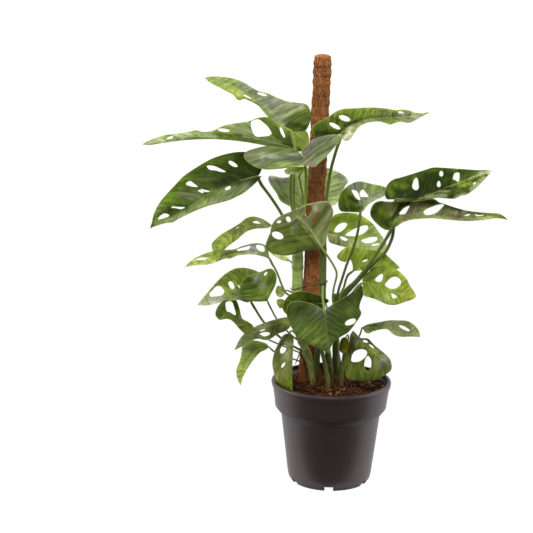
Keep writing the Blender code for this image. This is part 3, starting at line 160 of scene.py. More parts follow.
# Leaf blade
BLADE_THICKNESS = 0.6
MARGIN_THICKNESS = 0.3
MARGIN_WIDTH = 3.0
EDGE_STEP = 2.0
GRID_STEP = 2.1
GRID_ROW = 0.87
HOLE_SIDES = 26
HOLE_STEP = 1.0
RIB_MARGIN = 0.5
WAVE_HEIGHT = 1.6
WAVE_LENGTH = 46.0
PUFF_HEIGHT = 1.1
PUFF_ROUND = 0.8
CALM_EDGE = 5.0
CALM_RIB = (0.5, 4.0)
CALM_TIP = (2.0, 12.0)
RIB_RIDGE = 0.9
RIB_WIDTH = 1.5
RIB_LEAST = 0.3
RIB_TAPER = 0.8
GROOVE_DEPTH = 0.7
FRONT_LIMIT = -87.0
FRONT_SQUEEZE = 0.2
NORMAL_ROUNDS = 4
LEAF_SEED = 7.3

# Colour of a leaf blade
STROKE_BASE = 0.8
STROKE_GAIN = 0.55
STROKE_FALL = 1.2
FLOW_START = 3.0
FLOW_RUN = 0.3
LEAF_GLOW = (1.0, 1.2, 0.4)
VEIN_LEAN = 0.45
VEIN_CURL = 0.006

# Stalk and stem; a swelling is (its share of the radius, its length)
STALK_SIDES = 12
STALK_STEP = 4.0
STALK_RADIUS = 1.2
STALK_BODY = 0.92
STALK_END = 0.9
STALK_TIP = (0.6, 0.3)
STALK_INTO_BLADE = (0.06, 0.16)
STALK_CLASP = (0.25, 7.0)
STALK_KNEE = (0.12, 6.0)
STALK_SEAT = 0.6
STEM_SIDES = 20
STEM_STEP = 1.6
STEM_SUNK = 22.0
STEM_DIVE = -0.6
STEM_BODY = 0.97
STEM_NODE = (0.14, 3.5)
STEM_RING = 0.05
STEM_UNEVEN = 0.09
NODE_SPACING = 27.0

# Sight line of the view
EYE = Vector((0.0, -2454.0, 904.5))
EYE_PITCH = math.radians(13.6)
EYE_YAW = math.radians(2.2)
EYE_ROLL = math.radians(0.8)
EYE_FOCAL = 1804.0
EYE_CENTRE = 266.5
SENSOR = 36.0

# Colours by name, as matched sRGB values
SHADES = {
    "black": (36, 46, 14), "deep": (48, 64, 18), "dark": (66, 84, 28), "green": (88, 108, 38),
    "fresh": (108, 130, 46), "bright": (126, 148, 56), "lime": (140, 160, 62),
    "yellow": (162, 174, 74), "shade": (62, 72, 36), "moss": (80, 92, 50),
    "olive": (98, 110, 64), "soft": (118, 130, 82), "pale": (140, 152, 102),
    "light": (160, 170, 122), "straw": (182, 186, 142), "cream": (204, 202, 170),
    "grey": (112, 116, 92), "silver": (140, 146, 122), "taupe": (118, 112, 86),
    "mist": (180, 204, 116), "rust": (150, 88, 48), "brown": (104, 72, 44), "slate": (84, 104, 74),
}

# Paints of the materials, linear
PAINTS = {
    "leaf_depth": (0.55, 0.82, 0.42), "leaf_vein_and_sheen": (0.34, 0.38, 0.22),
    "leaf_margin": (0.40, 0.46, 0.14), "leaf_under": (0.22, 0.26, 0.09),
    "leaf_warmth": (1.0, 1.0, 0.90), "stalk_speck": (0.30, 0.34, 0.10),
    "stalk_dark": (0.08, 0.10, 0.02), "stem_depth": (0.55, 0.60, 0.40),
    "stem_scar": (0.11, 0.08, 0.03), "stem_speck": (0.09, 0.08, 0.03),
    "stem_foot_brown_and_shade": (0.075, 0.045, 0.018), "root_dark": (0.045, 0.018, 0.007),
    "root_light": (0.22, 0.085, 0.030), "coir_dark": (0.085, 0.028, 0.009),
    "coir_light": (0.60, 0.235, 0.075), "coir_patch": (0.12, 0.05, 0.02),
    "coir_fleck": (0.72, 0.36, 0.15), "thread_dark": (0.22, 0.11, 0.06),
    "thread_light": (0.60, 0.40, 0.28), "soil_black": (0.005, 0.002, 0.001),
    "soil_deep": (0.045, 0.016, 0.007), "soil_brown": (0.040, 0.013, 0.005),
    "soil_rust": (0.20, 0.068, 0.024), "soil_straw": (0.22, 0.10, 0.05),
    "soil_light": (0.62, 0.36, 0.20), "pot_black": (0.013, 0.0065, 0.0072),
    "pot_brown": (0.020, 0.011, 0.012), "pot_dust": (0.08, 0.055, 0.05),
    "wire_black": (0.012, 0.014, 0.012), "wire_worn": (0.05, 0.05, 0.045),
    "stake_dark": (0.30, 0.17, 0.08), "stake_light": (0.52, 0.36, 0.20),
}

# Stems from the soil up, as (across, down, depth in mm, radius in mm)
STEMS = {
    "stem_left": [(313.5, 386, 2, 5.0), (311.5, 368, 0, 5.0), (306.5, 352, 0, 5.2),
                  (301, 338, 3, 6.2), (298, 322, 6, 7.2), (297.5, 290, 8, 7.6),
                  (297.6, 255, 8, 7.6), (297.4, 234, 8, 6.4), (297.2, 214, 8, 4.4)],
    "stem_right": [(322, 386, 2, 4.6), (317, 364, -6, 4.6), (318.5, 346, -8, 4.6),
                   (321, 328, -7, 4.6), (322.5, 300, -6, 4.6), (323.4, 262, -4, 4.4),
                   (323.4, 232, -4, 4.2), (324, 216, -4, 4.0)],
    "stem_front": [(328.5, 388, -18, 3.2), (326.5, 372, -17, 3.1), (323.5, 358, -18, 2.9),
                   (320, 340, -20, 2.6)],
    "stem_mid": [(331.5, 386, -2, 4.6), (330, 366, -4, 4.4), (327, 346, -3, 4.0),
                 (326, 332, -2, 3.6)],
    "stem_back": [(337, 384, 14, 5.2), (336, 360, 11, 5.2), (335.8, 335, 9, 5.0),
                  (335.6, 315, 8, 4.8), (336, 303, 8, 4.4), (336.4, 294, 8, 3.8)],
    "stem_low": [(341, 386, -5, 3.4), (342, 370, -4, 3.3), (345, 354, -2, 3.0),
                 (347.5, 344, 0, 2.6)],
}

# Shade of each stem; stem_left's pale shade and stem_right's dark one are partly painted light and
# shade, one stem lit and one in shade
STEM_SHADES = {
    "stem_left": "mist", "stem_right": "green", "stem_front": "fresh", "stem_mid": "green",
    "stem_back": "green", "stem_low": "fresh",
}

# Brown aerial roots: (across, down, depth) paths down from a stem, one with a fork
ROOTS = {
    "root_forked": {
        "root": ("stem_left", 349), "path": [(299.4, 354, -5), (297.4, 359, -6), (295.4, 364, -6)],
        "fork": [(299.6, 353, -4.5), (303, 358, -8), (306, 362.5, -9), (309, 366, -9)],
        "radius": (1.1, 0.6)},
    "root_brown": {
        "root": ("stem_right", 366), "path": [(317.4, 372, -10), (319.4, 379, -12), (321, 385, -11)],
        "fork": [], "radius": (1.2, 0.8)},
}

# Root that lies on the soil, as (across, down) points; its place is searched along the sight line
LYING_ROOT = [(329.6, 379), (327, 382), (324.6, 385.6), (323.2, 389), (322.6, 392)]
LYING_ROOT_RADIUS = 1.0
LYING_ROOT_LIFT = 0.4
SEARCH_SPAN = (2300.0, 2700.0)
SEARCH_STEP = 0.5

# Tie wire that holds the two climbing stems to the pole
TIE_WIRE_RADIUS = 0.7
TIE_PLACE = (311, 282.0, 15)
TIE_SLOPE = 0.3
TIE_POINTS = 78
TIE_GAP = 0.9

# Light: world strength from the viewer's side to the back, then soft boxes as name, place, aim,
# size in metres and power
WORLD_SLANT = (0.0, 1.0, 0.8)
WORLD_FADE = (-0.55, 0.25, 0.20, 1.14)
WORLD_COLOUR = (1.0, 0.985, 0.92, 1.0)
LAMP_COLOUR = (1.0, 0.97, 0.88)
LIGHTS = [
    ("box_top", (-0.3, -0.5, 1.9), (0.0, 0.0, 0.3), (1.2, 1.0), 22.0),
    ("box_left", (-1.7, -0.05, 0.75), (0.0, 0.0, 0.3), (2.2, 1.5), 15.0),
    ("box_right", (1.7, -0.05, 0.75), (0.0, 0.0, 0.3), (2.2, 1.5), 15.0),
    ("box_front", (-0.25, -1.7, 1.75), (0.0, 0.0, 0.3), (1.0, 0.8), 26.0),
]
FLOOR = [(-1.6, -0.07, -0.0008), (1.6, -0.07, -0.0008), (1.6, 2.4, -0.0008), (-1.6, 2.4, -0.0008)]
FLOOR_GLOW = 1.02

# Material slot names of leaves that aren't plain leaf, handed to make_piece, which does not use them
SLOTS = {
    "leaf_under_crown": "leaf_lime", "leaf_left_large": "leaf_dark",
    "leaf_behind_pole": "leaf_pale", "leaf_curled": "leaf_dark", "leaf_heart_front": "leaf_dark",
    "leaf_dark_back": "leaf_dark", "leaf_right_upper": "leaf_dark",
    "leaf_right_long": "leaf_dark", "leaf_lime_back": "leaf_lime",
    "leaf_lime_front": "leaf_lime", "leaf_bud_left": "leaf_lime",
    "leaf_bud_left_low": "leaf_pale", "leaf_pale_strip": "leaf_pale",
}

# Leaves. rib: (across, down, depth) from stalk to tip. upper and lower: outline points of the two
# halves from stalk to tip. *_fall: (depth per frame unit away from the rib, its growth).
# holes: either (across, down, length, width, turn in degrees) or a list of points around the hole.
# stalk: from the blade back to its stem. root: that stem, and how far down it the stalk starts.
LEAVES = {
    "leaf_top_left": {
        "rib": [(291, 131, -4), (279.6, 124.5, -7), (267, 112.5, -11), (252, 97, -16), (234, 86.5, -22),
            (204.6, 78, -32)],
        "upper": [(298, 131.6), (305.5, 130.5), (310, 122), (311, 113), (306.5, 104.5), (296, 102.5),
            (286, 101), (276, 97), (267, 93), (257, 90.4), (244, 82.5), (233, 78.5), (219, 76.5),
            (209, 76.6)],
        "lower": [(284.5, 130), (275, 122.5), (266.5, 115.2), (258.5, 106), (251, 101.5), (244, 98.8),
            (240, 100.4), (236.5, 98.8), (233, 94.5), (227, 91.5), (218, 86.8), (210, 82.6)],
        "holes": [(262, 94.2, 10, 2.6, 14), (247, 96.6, 9, 1.8, 27)],
        "stalk": [(293.7, 140, -2), (295.3, 152, 1), (294, 173, 4), (293.4, 198, 6)],
        "root": ("stem_left", 213), "stalk_radius": 2.3, "upper_fall": (1.3, 0.0),
        "lower_fall": (-7.0, 0.35)},
    "leaf_upper_left": {
        "rib": [(297, 151.5, 16), (288, 147, 14), (269, 141, 8), (243, 136.8, 2), (216, 136, -6),
            (185, 137.3, -14), (160, 141, -20), (142, 144.5, -24)],
        "upper": [(303.5, 151), (308.5, 146), (309, 138), (306.5, 131.5), (298, 127.5), (288, 123.5),
            (278, 119), (267, 117), (257, 118), (249, 121.2), (236, 123.2), (223.6, 125.6),
            (213, 130.6), (203, 131.8), (195.5, 130.3), (187, 132.3), (177, 133.6), (165.5, 135),
            (152, 139.2), (146, 142)],
        "lower": [(287, 149.6), (275, 147.6), (262, 145), (247, 142.3), (230.6, 140.3), (212, 139.2),
            (190, 139.8), (172, 141.7), (159, 143.6), (150, 145)],
        "holes": [[(251, 122), (254.6, 120), (259, 119.4), (263.4, 122.6), (268, 127), (271.4, 133),
            (269, 135.6), (263, 136.5), (257, 136.6), (253.6, 134), (251.4, 128)],
            (223.7, 130.2, 12, 3.2, 6), (170, 137.8, 7, 2.6, -15), (282.3, 132.4, 11.5, 3, 66)],
        "stalk": [(297.5, 157, 17), (293, 168, 17), (290.4, 182, 16), (291, 203, 14)],
        "root": ("stem_left", 218), "stalk_radius": 2.2, "upper_fall": (1.7, 0.0),
        "lower_fall": (-1.5, 0.0)},
    "leaf_crown_front": {
        "rib": [(300.8, 153.7, -25), (305, 158, -37), (310, 162.4, -51), (316, 166.5, -65)],
        "upper": [(302.7, 150.6), (307, 145), (313.4, 139.5), (325.7, 135.6), (335, 134.6),
            (342.5, 135.8), (341.5, 140), (335.6, 146), (326.4, 156.4), (319.5, 163)],
        "lower": [(295.8, 150.6), (283.6, 147.8), (273, 146.3), (263.7, 146.4), (248.4, 150.6),
            (243.8, 156), (250, 163.6), (260, 168.6), (270, 169.6), (285, 168.2), (303.5, 165.6),
            (310, 167)],
        "stalk": [(303.5, 160, -20), (306, 172, -14), (305.6, 195, -6), (303.6, 214, -2)],
        "root": ("stem_left", 228), "stalk_radius": 2.6, "upper_fall": (0.1, 0.0),
        "lower_fall": (-2.7, 0.0)},
    "leaf_under_crown": {
        "rib": [(307, 168.6, -4), (298, 170.4, -9), (290, 171.4, -13), (284, 170.6, -16)],
        "upper": [(304, 166.6), (296, 166.8), (289, 167.4)],
        "lower": [(304, 171.4), (297, 173.8), (291, 174.6), (286, 173.8)],
        "stalk": [(299.4, 175, 2), (300.6, 184, 5), (302.6, 196, 8), (302.2, 208, 9)],
        "root": ("stem_left", 222), "stalk_radius": 1.5, "upper_fall": (-2.0, 0.0),
        "lower_fall": (-2.0, 0.0)},
    "leaf_top_right": {
        "rib": [(342, 133.4, -20), (349, 126.6, -21), (357, 122, -23), (368, 119.2, -25),
            (380, 118.2, -27), (395, 117.8, -31), (410, 116.4, -35), (430, 112, -40)],
        "upper": [(335, 135.2), (325, 136.4), (316, 136.6), (312.3, 131.5), (313, 125.6), (320, 121.6),
            (327, 117.6), (335, 112), (343, 108.8), (357, 108), (371, 107.3), (385.7, 108.3),
            (395, 109.8), (405, 109.4), (415, 112.2), (423, 113.2)],
        "lower": [(342.6, 138.4), (346, 140.8), (350.4, 139), (353.8, 134), (358, 128.2), (364, 123.8),
            (372, 121.9), (379.5, 121.6), (385, 123), (390, 124.6), (396, 122.6), (401, 121.9),
            (408, 122.8), (413, 121.6), (420, 117.6)],
        "holes": [(334.8, 125.9, 12, 4, 28), (344.6, 118.2, 11.5, 5, 20), (400.6, 112.2, 5.5, 1.7, 8)],
        "stalk": [(339.5, 141, -21), (335.7, 152, -18), (330.4, 172, -14), (326.8, 196, -10)],
        "root": ("stem_right", 218), "stalk_radius": 2.4, "upper_fall": (0.12, 0.0),
        "lower_fall": (-4.0, 0.0)},
    "leaf_left_large": {
        "rib": [(257.9, 176.4, -8), (238, 181.2, -14), (216, 190, -20), (202.5, 197.6, -24),
            (184.6, 209.2, -30), (169.5, 218.4, -35), (149.8, 228.4, -40)],
        "upper": [(261, 171.5), (262, 166), (258.5, 159), (252, 154), (246, 152), (233, 152.5),
            (216, 157), (202.5, 163.6), (184.6, 175.4), (176.6, 183.4), (161, 200.7), (154, 213.5),
            (151.8, 222.5)],
        "lower": [(263.4, 173), (257.6, 181), (245.4, 191.8), (236, 197), (227.5, 200.7), (208, 206),
            (193.6, 211.6), (179, 218.6), (173, 222.2), (165, 223.2), (157, 225.6)],
        "holes": [[(228.4, 161.6), (230.2, 160.8), (232.6, 161.6), (236, 164), (237.6, 166.2),
            (236, 167), (232.4, 166), (229.6, 164)],
            [(206.8, 166.2), (210, 165.4), (214.5, 166.2), (220, 168.6), (225.6, 171.6), (221.6, 172),
            (215, 170.4), (209.6, 169.6)],
            [(186, 183.6), (188, 181.6), (190.8, 181.2), (194, 183.6), (197.6, 186.6), (194, 186.8),
            (190, 186), (187, 185)],
            [(198, 190.4), (200.4, 189.8), (203.8, 191.9), (202.6, 193), (199.8, 192)],
            [(201, 188.8), (204.6, 189.8), (209.6, 191.2), (206.4, 192), (203, 190.8)],
            [(171.4, 207.6), (173, 206.4), (177, 206.8), (185, 207.3), (181, 209.1), (176, 208.2)],
            [(158, 218.6), (161, 215.2), (164.6, 213.4), (168.6, 214.6), (168.6, 216.4), (164, 218.2),
            (159.6, 219.3)],
            [(224.8, 189.4), (226.6, 187.2), (230, 186), (230.8, 187.8), (229, 189.6), (226, 190.2)]],
        "stalk": [(261, 184, -6), (271.3, 198, 0), (281.5, 214, 7), (286, 226, 11)],
        "root": ("stem_left", 240), "stalk_radius": 2.3, "upper_fall": (1.2, 0.0),
        "lower_fall": (-2.4, 0.0)},
    "leaf_behind_pole": {
        "rib": [(309, 206, 46), (311, 196, 49), (314, 182, 52), (317, 169, 53)],
        "upper": [(300, 209), (290.5, 206.5), (280.5, 201), (276.5, 193.5), (270, 184), (268.3, 177.5),
            (272, 175.6), (285, 177.6), (297, 173), (308, 168.6)],
        "lower": [(320, 209), (332.5, 205.6), (337.4, 202.4), (342.7, 193.5), (344.5, 187), (348, 181),
            (343, 174.6), (332.5, 169.4), (324, 167.4)],
        "stalk": [(305, 213, 38), (299.5, 220, 24)],
        "root": ("stem_left", 226), "upper_fall": (-0.25, 0.0), "lower_fall": (-0.25, 0.0)},
    "leaf_centre": {
        "rib": [(322, 248.6, -26), (316, 239, -28), (310, 230.6, -30), (303, 222.4, -32),
            (297, 217.6, -33), (290, 223.8, -35), (281, 227, -37), (273, 230, -40), (265, 246.5, -46)],
        "upper": [(325.6, 243), (328.4, 231), (332, 219), (333.2, 211), (330, 204), (326.5, 201),
            (313.8, 202.6), (306, 204.5), (299.7, 207.6), (292, 211), (283, 214.7), (275.5, 219.5),
            (271.6, 226), (270, 233), (267, 240)],
        "lower": [(318, 249.3), (307.4, 250.4), (294.6, 254), (287, 255.5), (280.6, 255), (274, 254),
            (269, 251.5)],
        "holes": [(288.4, 219.2, 6, 4.4, 60), (279, 221.7, 4.6, 2.6, -10),
            [(305, 207.4), (308, 205.8), (311, 205.6), (312.2, 209), (310.4, 213), (307.6, 216.4),
            (305.6, 215.6)], (277.6, 235.4, 12, 7, 22)],
        "stalk": [(326, 253.6, -24), (334.4, 267, -16), (336.7, 275, -13), (333.6, 289, -7),
            (332.8, 300, -2)],
        "root": ("stem_back", 309), "stalk_radius": 1.6, "upper_fall": (-0.2, 0.0),
        "lower_fall": (0.25, 0.0)},
    "leaf_left_arched": {
        "rib": [(271.8, 225.3, -6), (256.5, 224.6, -13), (243.5, 226.3, -21), (232, 232, -29),
            (224, 242, -37), (217.5, 262, -47)],
        "upper": [(267, 221.6), (261, 218.4), (253.5, 216.5), (246, 218.4), (240.5, 222.8),
            (233, 227.6), (221, 234.6), (213, 242), (211.7, 246), (213.4, 253), (215.6, 259)],
        "lower": [(268, 227.9), (255, 228.8), (246, 232), (236.6, 240), (227, 247), (221.5, 254)],
        "holes": [[(252.6, 222.4), (255, 220.9), (258, 221.4), (260.4, 223.4), (256.6, 223.6)],
            (237.4, 228, 4, 1.3, -28)],
        "stalk": [(277, 226, -6), (284, 225.4, -5)],
        "root": ("stem_left", 224), "upper_fall": (1.6, 0.0), "lower_fall": (-2.5, 0.0)},
    "leaf_left_narrow": {
        "rib": [(269.5, 258.4, -10), (262, 253.6, -12), (252.7, 251.9, -14), (243.5, 252.4, -16),
            (234, 253.4, -18), (222, 256.2, -21), (208, 261, -24), (195, 263, -27), (185, 267, -30)],
        "upper": [(268, 250.5), (265, 245), (257, 243.2), (249, 244.2), (241, 246.6), (233.6, 249.4),
            (222, 250), (213, 251), (204, 254), (195, 258), (189, 262.6)],
        "lower": [(264, 256.6), (252.7, 254.3), (243.5, 254.7), (237, 255.6), (231, 258.4),
            (226, 258.4), (220, 260.4), (213.7, 263), (205, 264.8), (198, 264.9), (191, 265.8)],
        "holes": [[(236.5, 249.8), (240, 248.2), (245, 246.9), (250.2, 245.8), (249.8, 248.2),
            (247.2, 249.8), (242, 250.6), (238, 250.9)],
            [(256, 245.4), (260, 244.9), (264, 246.6), (264.6, 250.6), (262.4, 252), (258.8, 250.6),
            (256.6, 248.4)],
            [(194.8, 259.4), (199, 258), (204, 257.3), (208.2, 258.1), (204.6, 259.6), (198.6, 260.2)]],
        "stalk": [(272, 263.5, -10), (276.8, 272, -8), (282, 285.5, -4), (286, 293, -1)],
        "root": ("stem_left", 299), "stalk_radius": 1.6, "upper_fall": (2.0, 0.0),
        "lower_fall": (-6.0, 0.0)},
    "leaf_mid_left": {
        "rib": [(250.5, 300.6, 4), (246.5, 296.4, 1), (240, 294.4, -2), (228, 297, -8),
            (213, 301.3, -16), (197.3, 305, -24)],
        "upper": [(257, 298.5), (263, 291), (264, 281), (259, 272.6), (251, 269), (242.8, 267.7),
            (234.4, 268.8), (224.4, 274.5), (215, 283.7), (209, 290.6), (203, 297.6)],
        "lower": [(248, 302.4), (244, 301.6), (238.5, 299.8), (232, 300.6), (226, 300.4), (219, 302.6),
            (212, 304.4), (204, 305.4)],
        "holes": [[(209.6, 293.4), (212.4, 290.2), (216, 286.6), (219.6, 285.9), (222.8, 288.4),
            (224.2, 292), (221.6, 295.4), (216, 296.4), (210.6, 296.6)],
            [(228.2, 283), (229.8, 281.2), (232, 282), (234.3, 286), (233.8, 288.6), (231.6, 288.8),
            (229.4, 286.2)], (239, 286.4, 4, 1.2, 60)],
        "stalk": [(254, 307, 5), (265, 323.5, 8), (281, 338, 10), (293, 346, 10)],
        "root": ("stem_left", 352), "stalk_radius": 1.8, "upper_fall": (1.3, 0.0),
        "lower_fall": (-3.0, 0.0)},
    "leaf_mid_left_front": {
        "rib": [(267.3, 301, -8), (262.5, 290, -13), (257, 282, -18), (250, 275.5, -24)],
        "upper": [(271, 293.6), (275.3, 285), (276.6, 276), (273, 269.4), (268, 268.8), (262.5, 271),
            (256.5, 273)],
        "lower": [(258, 301.6), (247, 300.6), (241, 296.5), (239.5, 290), (241.5, 282.5), (245.5, 277)],
        "holes": [(265.6, 273.6, 4.6, 2.2, -50)],
        "stalk": [(271, 308.5, 0), (277.2, 319.6, 9), (288, 332, 13)],
        "root": ("stem_left", 341), "stalk_radius": 1.3, "upper_fall": (0.8, 0.0),
        "lower_fall": (-0.4, 0.0)},
    "leaf_curled": {
        "rib": [(256, 332, 11), (245, 323, 9), (235, 316, 7), (226, 312.4, 4), (219.5, 320, 1)],
        "upper": [(252.5, 325), (247, 321.2), (242, 318), (239.6, 309), (237, 301.5), (233.5, 297.8),
            (227.5, 297), (221, 302.5), (216.5, 309), (215.6, 315.5)],
        "lower": [(252, 333.4), (245, 333.6), (239, 328.4), (233.5, 322), (228, 319)],
        "holes": [[(225.5, 303.6), (227.4, 301.6), (230.2, 301.3), (232.6, 302.8), (234.2, 307.6),
            (235.8, 313.2), (235, 315.2), (231, 313), (226.8, 311)]],
        "stalk": [(262, 336.5, 10), (276, 343, 13), (292, 349.5, 14)],
        "root": ("stem_left", 356), "upper_fall": (1.0, 0.0), "lower_fall": (-2.0, 0.0)},
    "leaf_draped": {
        "rib": [(289, 320.5, -10), (277, 323.4, -15), (264, 327.2, -21), (252, 333.4, -27),
            (243, 341, -32), (234.4, 350.3, -37)],
        "upper": [(287, 317.2), (277, 319), (266, 322.3), (255, 326.8), (245, 333), (239, 340.4)],
        "lower": [(291, 325), (286, 330.8), (278, 333.8), (271, 338.6), (265, 340.2), (258.5, 338.8),
            (252, 340.4), (245, 344.6), (239, 348)],
        "holes": [(264.4, 334.3, 11, 4.2, -8), (262.4, 330.2, 6, 1.2, -16)],
        "stalk": [(291.5, 322, -5)],
        "root": ("stem_left", 331), "upper_fall": (3.0, 0.0), "lower_fall": (-1.8, 0.0)},
    "leaf_hanging": {
        "rib": [(269, 347, -1), (260, 348.4, -8), (250.5, 356, -15), (243.6, 370, -22),
            (240.7, 385.3, -28)],
        "upper": [(266, 343.4), (256, 340.6), (247, 340.6), (242, 343.4), (241.8, 350), (240, 360),
            (236.4, 370), (237.4, 378.5)],
        "lower": [(265.5, 349.8), (259.4, 353), (250.8, 363.5), (243.6, 375.5), (241.8, 381)],
        "stalk": [(275, 352, 7), (288, 357, 9), (299, 361, 10)],
        "root": ("stem_left", 366), "upper_fall": (1.0, 0.0), "lower_fall": (-1.6, 0.0)},
    "leaf_rim_left": {
        "rib": [(289, 333.4, -16), (288.6, 348, -24), (287, 363, -33), (287.5, 377, -40),
            (292.4, 391, -44)],
        "upper": [(283.5, 335), (278, 344), (274, 353.6), (272.3, 363.5), (274, 373), (275.8, 380.5),
            (279.4, 386), (286, 389.4)],
        "lower": [(293.4, 336.5), (293.3, 346), (292.6, 360), (292, 374), (292.3, 384)],
        "holes": [(283.2, 349.3, 9, 5.6, -62), (283.2, 365, 6.2, 2.6, -52)],
        "stalk": [(292.4, 331, -9)],
        "root": ("stem_left", 337), "upper_fall": (2.15, 0.0), "lower_fall": (-1.6, 0.0)},
    "leaf_heart_front": {
        "rib": [(324.4, 310.6, -46), (326, 325, -55), (328, 340, -62), (329.7, 353.4, -68)],
        "upper": [(321, 308.5), (313.7, 304.4), (305, 302), (297.6, 301), (291.5, 302), (287.3, 306.7),
            (286.8, 316), (290, 325), (296.8, 335.8), (303, 342), (314.4, 346.5), (323, 350.4)],
        "lower": [(327.8, 307.5), (338, 300.6), (346.6, 296), (356.5, 288.4), (361.5, 285.3),
            (363.8, 293), (360.6, 302), (359.6, 308), (361.4, 313), (358.6, 319), (353, 327),
            (347.5, 333), (343, 335.6), (335, 341), (331, 347)],
        "holes": [(312.5, 339.6, 2.2, 1.6, 0), (350.4, 321.9, 11.5, 5.4, -24)],
        "stalk": [(323.8, 305.4, -33), (322.6, 297, -20)],
        "root": ("stem_right", 284), "stalk_radius": 2.0, "upper_fall": (-0.1, 0.0),
        "lower_fall": (0.35, 0.0)},
    "leaf_dark_back": {
        "rib": [(326, 304, -15), (313, 303, -16), (298, 305, -18), (284, 312, -22)],
        "upper": [(329, 300.5), (323, 296.8), (316.7, 294.4), (307.5, 291.8), (299, 291.2),
            (290, 294.5), (285, 300), (282.3, 307)],
        "lower": [(322, 311), (312, 317), (300, 319), (290, 317)],
        "stalk": [(326.8, 309.5, -14.5)],
        "root": ("stem_right", 323), "upper_fall": (0.35, 0.0), "lower_fall": (-0.3, 0.0)},
    "leaf_right_low": {
        "rib": [(362, 327.6, -8), (374, 326.9, -13), (386, 326, -18), (394, 329.6, -21),
            (404, 333.2, -25), (412, 334.8, -28), (420, 337, -32)],
        "upper": [(367, 324.6), (374.6, 323), (383, 321.4), (390.6, 320.2), (399, 320.4),
            (406.5, 320.8), (412, 323.4), (416.5, 327.4), (419.6, 332.4)],
        "lower": [(363.5, 330), (366, 332.8), (369.5, 333.2), (374, 331), (384, 329), (388.5, 330),
            (392, 333.2), (396, 335.6), (402, 336.8), (412, 336.6)],
        "holes": [(404.4, 328.2, 12, 3.2, 27)],
        "stalk": [(359.8, 335, -3), (354, 343, 2), (349.5, 350, 5)],
        "root": ("stem_low", 356), "upper_fall": (2.4, 0.0), "lower_fall": (-4.0, 0.0)},
    "leaf_rim_right": {
        "rib": [(351, 334, -14), (358, 339.2, -21), (366, 346, -30), (378, 355.6, -40),
            (392, 366.5, -50)],
        "upper": [(353, 330.8), (357, 334.6), (361, 338), (368, 338.6), (374.6, 345.2), (384, 353),
            (389.8, 359)],
        "lower": [(349, 342), (347, 352), (345.4, 360), (345.2, 369), (346.4, 377), (350, 380),
            (357, 380.9), (365.7, 381.4), (373, 380.6), (380, 378), (386.5, 374), (390.8, 370.5)],
        "holes": [(365.4, 341.4, 5, 2.6, 12), (371.6, 346.4, 6.5, 1.8, 38),
            [(351.4, 361), (352.2, 355), (355.4, 351), (361, 349.2), (366, 350.4), (367, 354),
            (364, 358.2), (359.6, 361.2), (355, 362)],
            [(364.4, 367), (364.8, 361), (367.6, 356), (370.6, 358.6), (371.4, 364), (370, 369.4),
            (366.6, 370.8)]],
        "stalk": [(350.4, 339, -8), (349.6, 345, -5)],
        "root": ("stem_low", 350), "upper_fall": (3.2, 0.0), "lower_fall": (0.3, 0.0)},
    "leaf_small_right": {
        "rib": [(346, 337, -18), (343.5, 345, -21), (342.5, 353.5, -24)],
        "upper": [(342, 338), (339.4, 344), (339.4, 350.5)],
        "lower": [(348.5, 340), (348.6, 346), (346.4, 351.5)],
        "stalk": [(347.5, 335, -12), (348.6, 338, -6)],
        "root": ("stem_low", 345), "upper_fall": (0.6, 0.0), "lower_fall": (-0.8, 0.0)},
    "leaf_right_back": {
        "rib": [(327, 231.6, 31), (340, 234.8, 29), (352, 238.5, 27), (362, 243, 25), (374, 247.8, 22),
            (387, 252, 18)],
        "upper": [(328.6, 224), (333, 216.4), (338, 213.6), (346.7, 212.6), (357.4, 213.8),
            (365, 217.6), (372.8, 223.7), (379, 232), (384, 239), (387, 246)],
        "lower": [(329, 241.4), (335, 244.4), (346.7, 247.6), (357, 249.6), (368, 252), (378, 253)],
        "holes": [[(334.4, 231.6), (335, 228.6), (338, 225), (342, 223), (346.4, 223), (346.6, 226),
            (343, 230), (338.6, 232.4)],
            [(345.4, 235.2), (349, 232), (353.6, 229.2), (360, 226.6), (366, 225.2), (368.2, 227.2),
            (366, 231.4), (361, 234.6), (353, 236.2)],
            [(361, 240.6), (365, 238.8), (371, 237), (377, 237.2), (376.6, 240.4), (371, 242.8),
            (365, 243)],
            [(340, 236.6), (344, 237), (348, 239.6), (345.6, 240.8), (342, 239.6)],
            [(371, 245.2), (375, 243.6), (380, 243.4), (376, 245.6)]],
        "stalk": [(325.6, 236, 21), (325, 243, 10)],
        "root": ("stem_right", 250), "upper_fall": (0.9, 0.0), "lower_fall": (-0.5, 0.0)},
    "leaf_right_small": {
        "rib": [(360.4, 212.5, -4), (362, 204.5, -3), (369, 198.2, -2), (378, 194.6, 0),
            (388, 191.6, 2)],
        "upper": [(350, 212), (340.5, 210.8), (338.3, 202), (342.6, 191), (350.7, 184.2),
            (359.8, 181.4), (371, 183.8), (380, 185.6), (386, 187.6)],
        "lower": [(363.6, 210.5), (368.2, 204.6), (376, 199.8), (384, 196)],
        "holes": [[(351.6, 190.4), (354.4, 190), (357.4, 191.8), (359.2, 196), (360.4, 199.2),
            (358.6, 199.8), (355.6, 197.2)],
            [(360.2, 196.2), (360.2, 192), (362.6, 189.4), (365.4, 192), (368.4, 196.4), (364, 196.9)]],
        "stalk": [(359.6, 219, -8), (358, 230.6, -8), (354, 246, -6), (346.6, 265, -3),
            (341.6, 280.4, 0), (338.8, 289, 1)],
        "root": ("stem_back", 299), "stalk_radius": 2.0, "upper_fall": (1.0, 0.0),
        "lower_fall": (-2.0, 0.0)},
    "leaf_right_upper": {
        "rib": [(396, 199.6, -32), (410, 199.2, -35), (424, 197.4, -38), (445, 188, -42),
            (468, 178.7, -46), (492, 171, -50)],
        "upper": [(388, 199.8), (384.8, 195), (386.3, 186.7), (392, 180.2), (401, 177.4),
            (410.4, 174.5), (419, 171.8), (427.6, 169), (434, 167.4), (445, 167.8), (462, 169),
            (477, 170), (486, 169.8)],
